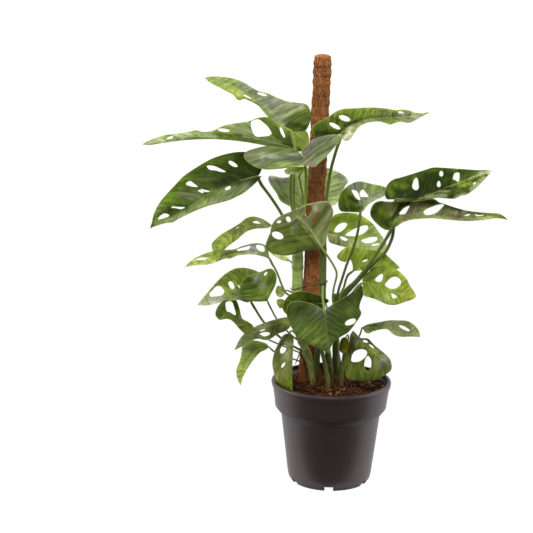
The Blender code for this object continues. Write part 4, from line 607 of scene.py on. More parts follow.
        "lower": [(405, 201.2), (415, 201), (424, 200.2), (430, 199.2), (437, 197.8), (446, 198.4),
            (455, 198.6), (461, 195.6), (466, 194.8), (472, 191), (477, 187), (484, 180), (489, 174.4)],
        "holes": [[(412.4, 187.4), (413.2, 182), (415.4, 178), (417.4, 178.4), (418.4, 183),
            (418.4, 188.4), (415.6, 190.2)],
            [(439.6, 175), (439.8, 171.8), (441.4, 171), (443, 172.6), (442.8, 175.8), (441, 176.4)],
            [(437, 185), (437.8, 181.8), (439.2, 181), (440.6, 184), (440.2, 186.4), (438.2, 187)],
            [(453, 179), (454.2, 174), (456, 172.8), (459.2, 173), (459.4, 178), (458.4, 181.8),
            (455.4, 180)],
            [(472.8, 184), (474.2, 182.4), (476.2, 182), (475.4, 183.9), (474, 184.8)]],
        "stalk": [(396, 198.6, -21), (395.6, 199.2, -8), (395, 204, 3), (394.2, 216, 6), (393, 234, 2),
            (388.8, 246, -5), (382.7, 255.4, -10), (371, 266, -11), (359.7, 279, -6),
            (347.5, 292.6, 3)],
        "root": ("stem_back", 304), "stalk_radius": 2.5, "upper_fall": (1.2, 0.0),
        "lower_fall": (-2.4, 0.0)},
    "leaf_right_long": {
        "rib": [(391, 229.6, -28), (396, 222.5, -29), (404, 218.4, -31), (418, 216.2, -34),
            (431, 215.4, -37), (450, 216.8, -41), (470, 217.8, -45), (490, 216.2, -49),
            (508, 219.5, -52)],
        "upper": [(386, 230), (380.5, 227), (372.5, 219), (370.2, 212), (373.6, 204), (380, 201),
            (387, 201.6), (398, 201.2), (410, 198.4), (424, 197.2), (434.6, 199.2), (439, 202.2),
            (444.8, 204), (456, 207.8), (468, 210.8), (480, 212.3), (490, 213), (500, 214)],
        "lower": [(397.4, 226), (402, 222.8), (410, 220), (420, 218.8), (431, 218.1), (445, 219.4),
            (462, 220.9), (474, 220.7), (485, 219.8), (497, 218.2)],
        "holes": [[(399.2, 213.6), (402, 210), (405.6, 207.2), (409.4, 205.8), (407.8, 209.6),
            (405.4, 213.4), (402, 214.4)],
            [(423.4, 212.6), (425.4, 209.8), (430, 207.6), (436, 205.3), (441, 204.3), (444.2, 205),
            (441, 208.4), (437, 212.2), (431.6, 214.6), (426, 214.9)],
            [(464.4, 215.6), (467.4, 214.2), (470.6, 214.2), (468, 215.7)],
            [(474.6, 214.4), (479, 215), (484.4, 214.6), (481, 215.9), (477, 216.1)]],
        "stalk": [(387.4, 236.7, -25), (376.6, 253.6, -22), (369.7, 263.5, -21), (356, 280.6, -16),
            (344.4, 292, -7)],
        "root": ("stem_back", 310), "stalk_radius": 2.5, "upper_fall": (1.0, 0.0),
        "lower_fall": (-7.0, 0.0)},
    "leaf_lime_back": {
        "rib": [(352.5, 271.5, 5), (359, 266.5, 3), (368, 262, 1), (382, 260.6, -2), (400, 268, -6)],
        "upper": [(352.6, 265), (350, 259.4), (345, 262), (339.5, 260), (337, 256.2), (340.6, 251.2),
            (346.7, 247), (356, 247.3), (363.6, 248.3), (374, 250), (383.5, 252.5), (391, 259),
            (397, 264.4)],
        "lower": [(360, 270.4), (370, 270), (382, 269.5), (392, 270)],
        "holes": [[(362.4, 262), (364, 260.2), (367.6, 259.2), (366.2, 261.2)]],
        "stalk": [(348.4, 274.6, 8), (346, 279.4, 11), (343.6, 288, 14)],
        "root": ("stem_back", 300), "stalk_radius": 1.8, "upper_fall": (0.1, 0.0),
        "lower_fall": (-0.4, 0.0)},
    "leaf_lime_front": {
        "rib": [(362.8, 283, -16), (370, 282.6, -18), (379, 284.4, -20), (389, 290.4, -23),
            (400, 293.4, -26), (416, 296.8, -30)],
        "upper": [(362.6, 278), (367.4, 272.8), (373.5, 268), (382.7, 265.6), (390.4, 266.8),
            (398, 270.4), (405.7, 277.6), (410.3, 286), (415, 293)],
        "lower": [(362.6, 290), (364, 295.7), (369.7, 297.4), (377.3, 300), (385, 303.6), (390, 304.9),
            (396.5, 304.7), (405.7, 301.7), (412.5, 299.4)],
        "holes": [[(375, 280), (377, 277), (380.4, 274.2), (382.8, 274.4), (382.4, 278.6),
            (380.4, 281.8), (377.4, 281.6)],
            [(385, 285), (387.2, 281.4), (390.6, 278.2), (394.4, 276.6), (397.6, 277.4), (400.8, 280.6),
            (400.4, 284.4), (396.6, 288), (391.6, 288.8), (387.6, 287.4)],
            [(391.4, 293.4), (394, 294.2), (396.8, 296.6), (395, 298.4), (392.4, 297.8)]],
        "stalk": [(357.5, 286.6, -13), (349, 298, -3), (342.4, 309.6, 5)],
        "root": ("stem_back", 322), "stalk_radius": 1.8, "upper_fall": (0.7, 0.0),
        "lower_fall": (-1.0, 0.0)},
    "leaf_bud_left": {
        "rib": [(285.5, 290.4, 12), (281, 292.2, 11), (277.4, 296, 10)],
        "upper": [(282, 287), (278, 285.6), (275.9, 289.4), (275.9, 293.6)],
        "lower": [(284, 295), (280.6, 297.4)],
        "stalk": [(288, 290.6, 12)],
        "root": ("stem_left", 292), "upper_fall": (0.8, 0.0), "lower_fall": (-0.8, 0.0)},
    "leaf_bud_left_low": {
        "rib": [(285, 300.5, 12), (281, 302.4, 11), (279.4, 308, 10)],
        "upper": [(281, 299), (276.8, 300), (277.2, 304.4)],
        "lower": [(285, 304), (282, 308)],
        "stalk": [(287.6, 301.4, 11)],
        "root": ("stem_left", 303), "upper_fall": (0.8, 0.0), "lower_fall": (-0.8, 0.0)},
    "leaf_pale_strip": {
        "rib": [(290, 261, 24), (280.5, 257.4, 22), (270.6, 253.4, 20)],
        "upper": [(287, 255.6), (280, 254), (275, 253.3)],
        "lower": [(285, 260.8), (277, 257.4)],
        "stalk": [(292.6, 263.5, 19)],
        "root": ("stem_left", 268), "upper_fall": (3.0, 0.0), "lower_fall": (-3.0, 0.0)},
}

# Look of each leaf. upper and lower: shades of its halves from stalk to tip. gain: red, green and
# blue factors on those shades. Scratch programs that compared renders with the photo suggested the
# shades, part of them since changed by eye, and worked out the factors, which bring the leaf's mean
# colour near the photo's.
# vein: spacing of its side veins. lean: how far they lean to the tip. flow: side veins along seen
# directions instead, as both ends of the line between two directions, these and the spacing.
# puff: share of the usual height between veins. stalk: its shade. shows: the side that is seen, if
# not the upper one. strokes: (across, down, to across, to down, radius, shade, strength), where a
# round one leaves out its end. Half shades, stalk shades and gains take in the light and shade on
# each leaf, so they are partly painted light and shade. Besides markings, strokes lay painted
# shadows in the darkest shades and painted sheen in many of the silver, grey, light and cream ones.
LOOKS = {
    "leaf_top_left": {
        "upper": ("olive", "pale", "bright"), "lower": ("pale", "fresh", "bright"),
        "gain": (0.79, 0.77, 1.01), "vein": 13.0, "lean": 1.6, "stalk": "lime",
        "flow": ((300, 132), (206, 80), (0.85, -0.5), (0.85, -0.5), 5.5),
        "strokes": [(290, 127, 300, 108, 9, "green", 0.7), (304, 108, 306, 126, 5, "green", 0.6),
            (283, 124, 303, 127, 4, "deep", 0.75), (272, 108, 282, 121, 5, "grey", 0.7),
            (276, 103, 300, 106, 4, "silver", 0.7), (274, 112, 292, 104, 2.5, "light", 0.6),
            (280, 117, 302, 108, 2.5, "light", 0.6), (262, 97, 270, 102, 6, "silver", 0.8),
            (243, 84, 262, 96, 4, "grey", 0.7), (240, 80, 250, 86, 3, "silver", 0.7),
            (228, 89, 240, 95, 4, "yellow", 0.45), (205, 78, 222, 80, 4, "pale", 0.6),
            (283, 126, 262, 104, 1.8, "light", 0.6), (262, 104, 225, 84, 1.8, "pale", 0.7)]},
    "leaf_upper_left": {
        "upper": ("bright", "bright", "soft"), "lower": ("fresh", "green", "soft"),
        "gain": (0.88, 0.85, 1.2), "vein": 12.0, "lean": 1.5, "stalk": "bright",
        "strokes": [(300, 135, 303, 150, 6, "lime", 0.4), (289, 128, 291, 150, 3, "olive", 0.7),
            (264, 120, 284, 146, 7, "green", 0.6), (228, 127, 248, 128, 6, "pale", 0.6),
            (236, 131, 248, 134, 4, "light", 0.4), (215, 134, 262, 139, 2.5, "dark", 0.8),
            (262, 139, 300, 150, 2.5, "deep", 0.5), (244, 136, 280, 143, 1.8, "pale", 0.7),
            (195, 133, 215, 137, 2.5, "light", 0.5), (175, 136, 190, 136, 3, "light", 0.6),
            (150, 141, 162, 140, 4, "light", 0.45), (165, 138, 200, 139, 2, "dark", 0.4),
            (255, 145, 290, 150, 2.5, "olive", 0.6)]},
    "leaf_crown_front": {
        "upper": ("grey", "grey", "soft"), "lower": ("olive", "grey", "taupe"),
        "gain": (0.74, 0.7, 1.06), "vein": 13.0, "lean": 1.8, "puff": 0.3, "stalk": "lime",
        "flow": ((302, 168), (312, 135), (0.8, -0.6), (1.0, -0.28), 4.5),
        "strokes": [(300, 155, 312, 162, 6, "taupe", 0.9), (262, 152, 296, 151, 3, "green", 0.7),
            (250, 156, 262, 153, 4, "soft", 0.6), (262, 158, 296, 156, 3, "silver", 0.6),
            (266, 160, 300, 160, 2.5, "moss", 0.7), (255, 164, 300, 165, 3, "soft", 0.7),
            (270, 167, 305, 165, 2.5, "bright", 0.5), (280, 156, 300, 158, 2.5, "shade", 0.5),
            (310, 152, 336, 137, 3, "soft", 0.5), (314, 157, 334, 146, 2.5, "olive", 0.7),
            (312, 147, 330, 138, 2, "moss", 0.6), (318, 162, 328, 154, 3, "pale", 0.6)]},
    "leaf_under_crown": {
        "upper": ("fresh", "yellow", "cream"), "lower": ("bright", "cream", "straw"),
        "gain": (1.59, 1.74, 1.64), "vein": 6.0, "stalk": "lime"},
    "leaf_top_right": {
        "upper": ("fresh", "bright", "pale"), "lower": ("soft", "olive", "soft"),
        "gain": (0.88, 0.82, 1.17), "vein": 8.5, "stalk": "green",
        "strokes": [(316, 124, 332, 134, 7, "green", 0.8), (318, 133, 344, 134, 3.5, "deep", 0.85),
            (332, 118, 352, 126, 3, "dark", 0.6), (326, 128, 342, 132, 2, "dark", 0.5),
            (345, 126, 360, 121, 2.5, "deep", 0.7), (336, 112, 356, 112, 4, "fresh", 0.5),
            (360, 112, 378, 112, 4, "bright", 0.7), (372, 118, 396, 113, 2, "taupe", 0.6),
            (383, 110, 396, 114, 3, "olive", 0.6), (400, 116, 420, 117, 2.5, "silver", 0.6),
            (404, 112, 420, 114, 2, "light", 0.5), (383, 121, 394, 123, 2.5, "green", 0.8),
            (346, 139, 352, 130, 4, "straw", 0.8), (353, 131, 362, 124, 2, "soft", 0.7)]},
    "leaf_left_large": {
        "upper": ("deep", "dark", "dark"), "lower": ("shade", "moss", "olive"),
        "gain": (0.65, 0.69, 0.57), "vein": 11.0, "lean": 0.8, "stalk": "fresh",
        "strokes": [(256, 175, 218, 186, 7, "black", 0.9), (240, 160, 252, 170, 9, "deep", 0.8),
            (200, 165, 235, 155, 5, "green", 0.5), (170, 190, 188, 176, 8, "green", 0.8),
            (160, 204, 176, 198, 6, "fresh", 0.6), (190, 185, 210, 176, 5, "moss", 0.6),
            (196, 196, 206, 192, 3.5, "black", 0.7), (183, 196, 198, 196, 5, "grey", 0.7),
            (170, 210, 186, 208, 3, "black", 0.8), (156, 222, 176, 220, 3, "soft", 0.8),
            (155, 214, 160, 206, 3, "soft", 0.6), (212, 192, 236, 190, 4, "soft", 0.5),
            (204, 199, 214, 192, 3, "soft", 0.4), (240, 190, 254, 181, 5, "shade", 0.6),
            (185, 216, 205, 204, 4, "pale", 0.6), (222, 197, 236, 192, 3, "moss", 0.6),
            (213, 204, 248, 187, 5, "silver", 0.55), (168, 222, 204, 210, 3.5, "silver", 0.6),
            (206, 197, 214, 193, 3.0, "moss", 0.7)]},
    "leaf_behind_pole": {
        "upper": ("mist", "mist", "mist"), "lower": ("mist", "mist", "mist"),
        "gain": (1.33, 1.17, 2.45), "vein": 7.0,
        "strokes": [(274, 178, 8, "cream", 0.9), (284, 178, 7, "silver", 0.6),
            (283, 196, 10, "bright", 0.4), (343, 180, 8, "pale", 0.6)]},
    "leaf_centre": {
        "upper": ("pale", "pale", "pale"), "lower": ("green", "fresh", "fresh"),
        "gain": (0.84, 0.79, 0.98), "vein": 8.0, "stalk": "bright", "shows": "under",
        "flow": ((296, 216), (324, 250), (-1.0, 0.22), (0.55, -0.83), 6.0),
        "strokes": [(297, 217, 324, 250, 1.5, "mist", 1.2), (296, 221, 314, 244, 1.3, "dark", 0.7),
            (300, 240, 284, 243, 2.4, "deep", 0.9), (300, 246, 280, 250, 2.0, "lime", 0.8),
            (316, 247, 298, 250, 2.6, "black", 0.9), (274, 246, 290, 244, 2.2, "fresh", 0.6),
            (310, 244, 294, 236, 2.0, "lime", 0.6), (272, 223, 285, 215, 2.6, "light", 0.9),
            (285, 215, 297, 212, 2.6, "light", 0.8), (273, 227, 288, 223, 2.0, "soft", 0.8),
            (295, 230, 296, 224, 2.6, "silver", 0.8), (292, 227, 292, 233, 1.5, "mist", 0.6),
            (284, 222, 287, 227, 2.0, "fresh", 0.8), (298, 208, 312, 203, 1.3, "cream", 0.9),
            (312, 203, 329, 201, 1.3, "cream", 0.9), (314, 206, 318, 213, 2.4, "cream", 0.8),
            (310, 232, 327, 208, 2.2, "dark", 1.0), (302, 218, 312, 232, 2.0, "light", 0.7),
            (316, 240, 331, 212, 1.8, "straw", 0.9), (318, 238, 329, 221, 1.5, "fresh", 0.7),
            (323, 246, 330, 228, 1.8, "cream", 0.8), (319, 213.5, 314.5, 220.5, 2.0, "rust", 1.3)]},
    "leaf_left_arched": {
        "upper": ("lime", "lime", "bright"), "lower": ("bright", "fresh", "fresh"),
        "gain": (0.89, 0.78, 1.11), "vein": 6.0,
        "strokes": [(262, 225, 6, "silver", 0.5), (240, 229, 6, "grey", 0.4),
            (226, 240, 8, "lime", 0.4)]},
    "leaf_left_narrow": {
        "upper": ("bright", "bright", "fresh"), "lower": ("soft", "lime", "olive"),
        "gain": (1.75, 1.46, 3.13), "vein": 6.0,
        "strokes": [(251, 247, 6, "silver", 0.8), (266, 253, 7, "green", 0.7),
            (215, 255, 8, "fresh", 0.5), (228, 257, 6, "green", 0.6)]},
    "leaf_mid_left": {
        "upper": ("lime", "yellow", "straw"), "lower": ("soft", "soft", "straw"),
        "gain": (0.74, 0.75, 1.06), "vein": 8.0, "stalk": "green",
        "strokes": [(246, 284, 9, "lime", 0.5), (228, 281, 7, "yellow", 0.45),
            (240, 296, 8, "grey", 0.7), (216, 301, 8, "cream", 0.8), (232, 299, 5, "lime", 0.5),
            (255, 276, 8, "green", 0.6)]},
    "leaf_mid_left_front": {
        "upper": ("lime", "fresh", "bright"), "lower": ("fresh", "fresh", "green"),
        "gain": (1.37, 1.28, 2.26), "vein": 7.0, "stalk": "green",
        "strokes": [(252, 284, 8, "deep", 0.5), (257, 277, 4, "silver", 0.6),
            (262, 286, 4, "silver", 0.4), (270, 280, 6, "dark", 0.5)]},
    "leaf_curled": {
        "upper": ("green", "lime", "green"), "lower": ("soft", "olive", "soft"),
        "gain": (0.81, 0.82, 0.49), "vein": 7.0,
        "strokes": [(222, 308, 8, "green", 0.5), (236, 321, 6, "grey", 0.7)]},
    "leaf_draped": {
        "upper": ("green", "moss", "olive"), "lower": ("shade", "moss", "olive"),
        "gain": (1.05, 0.84, 1.32), "vein": 7.0,
        "strokes": [(276, 330, 9, "deep", 0.8), (262, 326, 7, "soft", 0.5),
            (287, 322, 4, "yellow", 0.5), (247, 336, 7, "dark", 0.5)]},
    "leaf_hanging": {
        "upper": ("fresh", "fresh", "fresh"), "lower": ("green", "fresh", "fresh"),
        "gain": (1.74, 1.49, 3.28), "vein": 4.5,
        "strokes": [(248, 345, 7, "olive", 0.3), (257, 350, 6, "green", 0.3),
            (242, 358, 240, 376, 3, "fresh", 0.6)]},
    "leaf_rim_left": {
        "upper": ("olive", "soft", "fresh"), "lower": ("green", "olive", "fresh"),
        "gain": (0.98, 0.87, 0.73), "vein": 7.0,
        "strokes": [(281, 372, 7, "soft", 0.3), (289, 342, 287, 356, 4, "silver", 0.6),
            (278, 352, 280, 366, 3, "green", 0.5), (290, 386, 5, "bright", 0.8),
            (277, 380, 4, "pale", 0.6)]},
    "leaf_heart_front": {
        "upper": ("dark", "green", "green"), "lower": ("dark", "dark", "green"),
        "gain": (0.77, 0.72, 1.23), "vein": 9.0, "lean": 0.6,
        "strokes": [(322, 309, 9, "slate", 0.8), (305, 331, 9, "bright", 0.35),
            (300, 312, 12, "dark", 0.7), (348, 297, 10, "deep", 0.6), (352, 312, 9, "green", 0.5),
            (345, 330, 6, "dark", 0.6), (318, 340, 6, "bright", 0.4), (337, 311, 8, "dark", 0.8)]},
    "leaf_dark_back": {
        "upper": ("deep", "dark", "green"), "lower": ("deep", "green", "green"),
        "gain": (0.62, 0.6, 0.12), "vein": 7.0,
        "strokes": [(318, 302, 8, "deep", 0.9), (299, 303, 3, "taupe", 0.8),
            (294, 298, 7, "green", 0.6)]},
    "leaf_right_low": {
        "upper": ("soft", "pale", "soft"), "lower": ("fresh", "soft", "olive"),
        "gain": (0.86, 0.8, 0.98), "vein": 7.0,
        "strokes": [(350, 357, 354, 350, 2.0, "rust", 1.4), (354, 349, 366, 348, 1.8, "rust", 1.4),
            (367, 349, 368, 358, 1.8, "rust", 1.4), (350, 357, 352, 363, 1.8, "rust", 1.3),
            (352, 334, 362, 348, 4, "silver", 0.8), (368, 360, 382, 372, 3, "soft", 0.8),
            (372, 354, 388, 366, 2, "yellow", 0.7), (378, 350, 384, 358, 2, "yellow", 0.7),
            (374, 326, 9, "dark", 0.8), (392, 322, 6, "taupe", 0.6), (405, 326, 8, "olive", 0.6),
            (362, 326, 3, "brown", 0.6)]},
    "leaf_rim_right": {
        "upper": ("olive", "green", "green"), "lower": ("bright", "fresh", "fresh"),
        "gain": (0.86, 0.72, 1.09), "vein": 8.0,
        "strokes": [(383, 362, 7, "silver", 0.5), (374, 352, 5, "lime", 0.5),
            (352, 350, 6, "dark", 0.6), (356, 341, 5, "grey", 0.5), (350, 349, 3, "rust", 0.5),
            (362, 376, 8, "green", 0.5), (350, 352, 352, 362, 1.3, "brown", 0.9),
            (366, 348, 367, 355, 1.2, "brown", 0.9), (352, 362, 358, 364, 1.1, "brown", 0.8)]},
    "leaf_small_right": {
        "upper": ("green", "green", "green"), "lower": ("bright", "fresh", "bright"),
        "gain": (0.81, 0.61, 0.12), "vein": 6.0},
    "leaf_right_back": {
        "upper": ("lime", "yellow", "cream"), "lower": ("cream", "straw", "cream"),
        "gain": (0.96, 1.01, 0.99), "vein": 8.0,
        "strokes": [(335, 220, 8, "green", 0.5), (350, 218, 10, "bright", 0.6),
            (373, 235, 8, "pale", 0.5), (340, 241, 8, "pale", 0.8)]},
    "leaf_right_small": {
        "upper": ("fresh", "pale", "soft"), "lower": ("pale", "pale", "pale"),
        "gain": (0.87, 0.87, 1.14), "vein": 6.5, "stalk": "dark",
        "strokes": [(345, 203, 349, 208, 5, "green", 1.0), (351, 188, 362, 184, 3, "silver", 1.0),
            (362, 183, 384, 189, 3.4, "soft", 0.8), (366, 191, 383, 187, 2.2, "bright", 0.6),
            (360, 202, 374, 196, 2.4, "silver", 1.0), (374, 196, 384, 192, 2.4, "silver", 0.9),
            (362, 210, 372, 201, 1.6, "light", 1.0), (372, 201, 385, 196, 1.6, "light", 0.9),
            (350, 197, 358, 202, 2, "deep", 1.0), (348, 209, 362, 208, 2.2, "dark", 0.8),
            (343, 196, 350, 192, 2.4, "fresh", 0.6)]},
    "leaf_right_upper": {
        "upper": ("deep", "deep", "dark"), "lower": ("moss", "shade", "moss"),
        "gain": (0.44, 0.53, 0.08), "vein": 9.0, "stalk": "dark",
        "strokes": [(386, 184, 392, 195, 3.4, "fresh", 0.8), (388, 181, 404, 186, 5, "fresh", 0.7),
            (402, 180, 422, 176, 4, "green", 0.7), (408, 199, 440, 190, 5, "black", 1.0),
            (396, 198, 412, 191, 3, "deep", 0.8), (426, 178, 436, 190, 3, "deep", 0.6),
            (424, 171, 456, 170, 2.6, "green", 0.7), (456, 182, 480, 172, 4, "green", 0.6),
            (420, 199, 470, 179, 1.1, "bright", 0.9), (470, 179, 488, 171, 1.3, "light", 0.9),
            (480, 174, 491, 171, 2.6, "cream", 1.0), (444, 192, 462, 194, 2.6, "dark", 0.8),
            (426, 197, 446, 196, 1.8, "silver", 1.0), (440, 192, 450, 191, 1.3, "pale", 0.7),
            (455, 198, 466, 194, 1.2, "silver", 0.9), (472, 190, 485, 178, 2.2, "light", 1.0),
            (460, 187, 470, 184, 2.2, "bright", 0.7), (442, 190, 452, 188, 1.8, "black", 0.7)]},
    "leaf_right_long": {
        "upper": ("fresh", "pale", "soft"), "lower": ("moss", "soft", "fresh"),
        "gain": (1.0, 0.91, 1.06), "vein": 8.5, "stalk": "dark",
        "strokes": [(375, 214, 384, 222, 6, "dark", 0.9), (378, 202, 387, 210, 3.4, "green", 0.7),
            (385, 223, 391, 227, 3, "deep", 0.9), (397, 214, 401, 206, 2.4, "black", 1.2),
            (401, 206, 409, 202, 2.2, "black", 1.2), (389, 204, 392, 212, 3, "taupe", 0.8),
            (391, 213, 392, 215, 1.1, "silver", 0.9), (390, 221, 398, 214, 2, "deep", 0.9),
            (405, 217, 420, 204, 5, "taupe", 0.9), (418, 215, 421, 202, 1.8, "grey", 0.8),
            (424, 202, 438, 202, 2.6, "dark", 1.0), (443, 206, 460, 210, 2, "dark", 0.9),
            (436, 217, 447, 209, 2.6, "grey", 0.8), (450, 216, 463, 218, 2.4, "taupe", 0.9),
            (455, 213, 470, 213, 1.4, "silver", 0.8), (470, 218, 492, 219, 1.8, "pale", 0.8),
            (468, 212, 500, 215, 1.8, "green", 0.9), (500, 218, 508, 219, 2, "green", 0.8),
            (404, 222, 440, 218, 1.1, "fresh", 0.8)]},
    "leaf_lime_back": {
        "upper": ("yellow", "lime", "yellow"), "lower": ("lime", "yellow", "lime"),
        "gain": (0.99, 0.99, 1.16), "vein": 7.0,
        "strokes": [(342, 256, 6, "yellow", 0.5), (360, 255, 12, "lime", 0.5),
            (357, 264, 6, "bright", 0.5)]},
    "leaf_lime_front": {
        "upper": ("fresh", "lime", "yellow"), "lower": ("fresh", "bright", "lime"),
        "gain": (0.9, 0.83, 0.97), "vein": 8.0,
        "strokes": [(370, 276, 7, "green", 0.6), (384, 270, 8, "lime", 0.5),
            (399, 274, 8, "yellow", 0.5), (407, 290, 9, "yellow", 0.7), (372, 291, 8, "bright", 0.5),
            (386, 298, 6, "soft", 0.4)]},
    "leaf_bud_left": {
        "upper": ("straw", "straw", "yellow"), "lower": ("cream", "cream", "cream"),
        "gain": (0.71, 0.75, 0.4), "vein": 4.0},
    "leaf_bud_left_low": {
        "upper": ("yellow", "cream", "cream"), "lower": ("pale", "pale", "pale"),
        "gain": (0.63, 0.58, 0.25), "vein": 4.0},
    "leaf_pale_strip": {
        "upper": ("cream", "cream", "cream"), "lower": ("cream", "cream", "cream"),
        "gain": (1.49, 1.57, 1.21), "vein": 5.0},
}


def linear(shade):
    """Linear colour of a named shade."""
    return [(v / 255 / 12.92) if v < 10.3 else ((v / 255 + 0.055) / 1.055) ** 2.4
            for v in SHADES[shade]]


def sight_axes():
    forward = Vector((-math.sin(EYE_YAW) * math.cos(EYE_PITCH),
                      math.cos(EYE_YAW) * math.cos(EYE_PITCH), -math.sin(EYE_PITCH)))
    right = Vector((math.cos(EYE_YAW), math.sin(EYE_YAW), 0.0))
    return forward, right, right.cross(forward)


def spot(across, down, depth):
    """Point in mm that is seen at (across, down) and lies depth mm behind the pot's axis."""
    forward, right, up = sight_axes()
    side = (across - EYE_CENTRE) / EYE_FOCAL
    rise = (EYE_CENTRE - down) / EYE_FOCAL
    level = side * math.cos(EYE_ROLL) - rise * math.sin(EYE_ROLL)
    lift = side * math.sin(EYE_ROLL) + rise * math.cos(EYE_ROLL)
    ray = forward + right * level + up * lift
    return EYE + ray * ((depth - EYE.y) / ray.y)


def curve_at(before, start, end, after, t):
    """Catmull-Rom point between start and end, for tuples of any length."""
    point = []
    for a, b, c, d in zip(before, start, end, after):
        point.append(0.5 * (2 * b + (c - a) * t + (2 * a - 5 * b + 4 * c - d) * t * t
                            + (3 * b - a - 3 * c + d) * t ** 3))
    return tuple(point)


def smooth_line(points, step, scale=1.0):
    """Points along a smooth line through the given ones, at most step apart."""
    line = [tuple(points[0])]
    for i in range(len(points) - 1):
        before = points[max(i - 1, 0)]
        after = points[min(i + 2, len(points) - 1)]
        length = math.dist(points[i], points[i + 1]) * scale
        parts = max(1, math.ceil(length / step))
        for k in range(1, parts + 1):
            line.append(curve_at(before, points[i], points[i + 1], after, k / parts))
    return line


def fine_line(points, step):
    """Smooth line through points in space."""
    return [Vector(p) for p in smooth_line([tuple(p) for p in points], step)]


def outward(a):
    """Level direction at an angle."""
    return Vector((math.cos(a), math.sin(a), 0.0))


def inside(spots, loop):
    """Which of many flat points lie inside a closed loop."""
    x, y = spots[:, :1], spots[:, 1:]
    ends = np.array(loop)
    starts = np.roll(ends, 1, axis=0)
    rise = starts[:, 1] - ends[:, 1]
    rise[rise == 0.0] = 1e-9
    crossing = ends[:, 0] + (y - ends[:, 1]) * (starts[:, 0] - ends[:, 0]) / rise
    hit = ((ends[:, 1] > y) != (starts[:, 1] > y)) & (x < crossing)
    return hit.sum(axis=1) % 2 == 1


def nearest(spots, others):
    """Distance from each flat point to the closest of the others."""
    gaps = spots[:, None, :] - np.array(others)[None, :, :]
    return np.sqrt((gaps ** 2).sum(axis=2)).min(axis=1)


def oval(across, down, length, width, turn):
    """Points around an oval hole."""
    angle = math.radians(turn)
    points = []
    for k in range(HOLE_SIDES):
        a = math.tau * k / HOLE_SIDES
        x, y = length / 2 * math.cos(a), width / 2 * math.sin(a)
        points.append((across + x * math.cos(angle) - y * math.sin(angle),
                       down + x * math.sin(angle) + y * math.cos(angle)))
    return points


def closed_curve(points):
    """Smooth closed curve through the points around a hole."""
    loop = []
    for i in range(len(points)):
        near = [points[(i + k) % len(points)] for k in (-1, 0, 1, 2)]
        parts = max(1, round(math.dist(near[1], near[2]) / HOLE_STEP))
        loop += [curve_at(*near, k / parts) for k in range(parts)]
    return loop


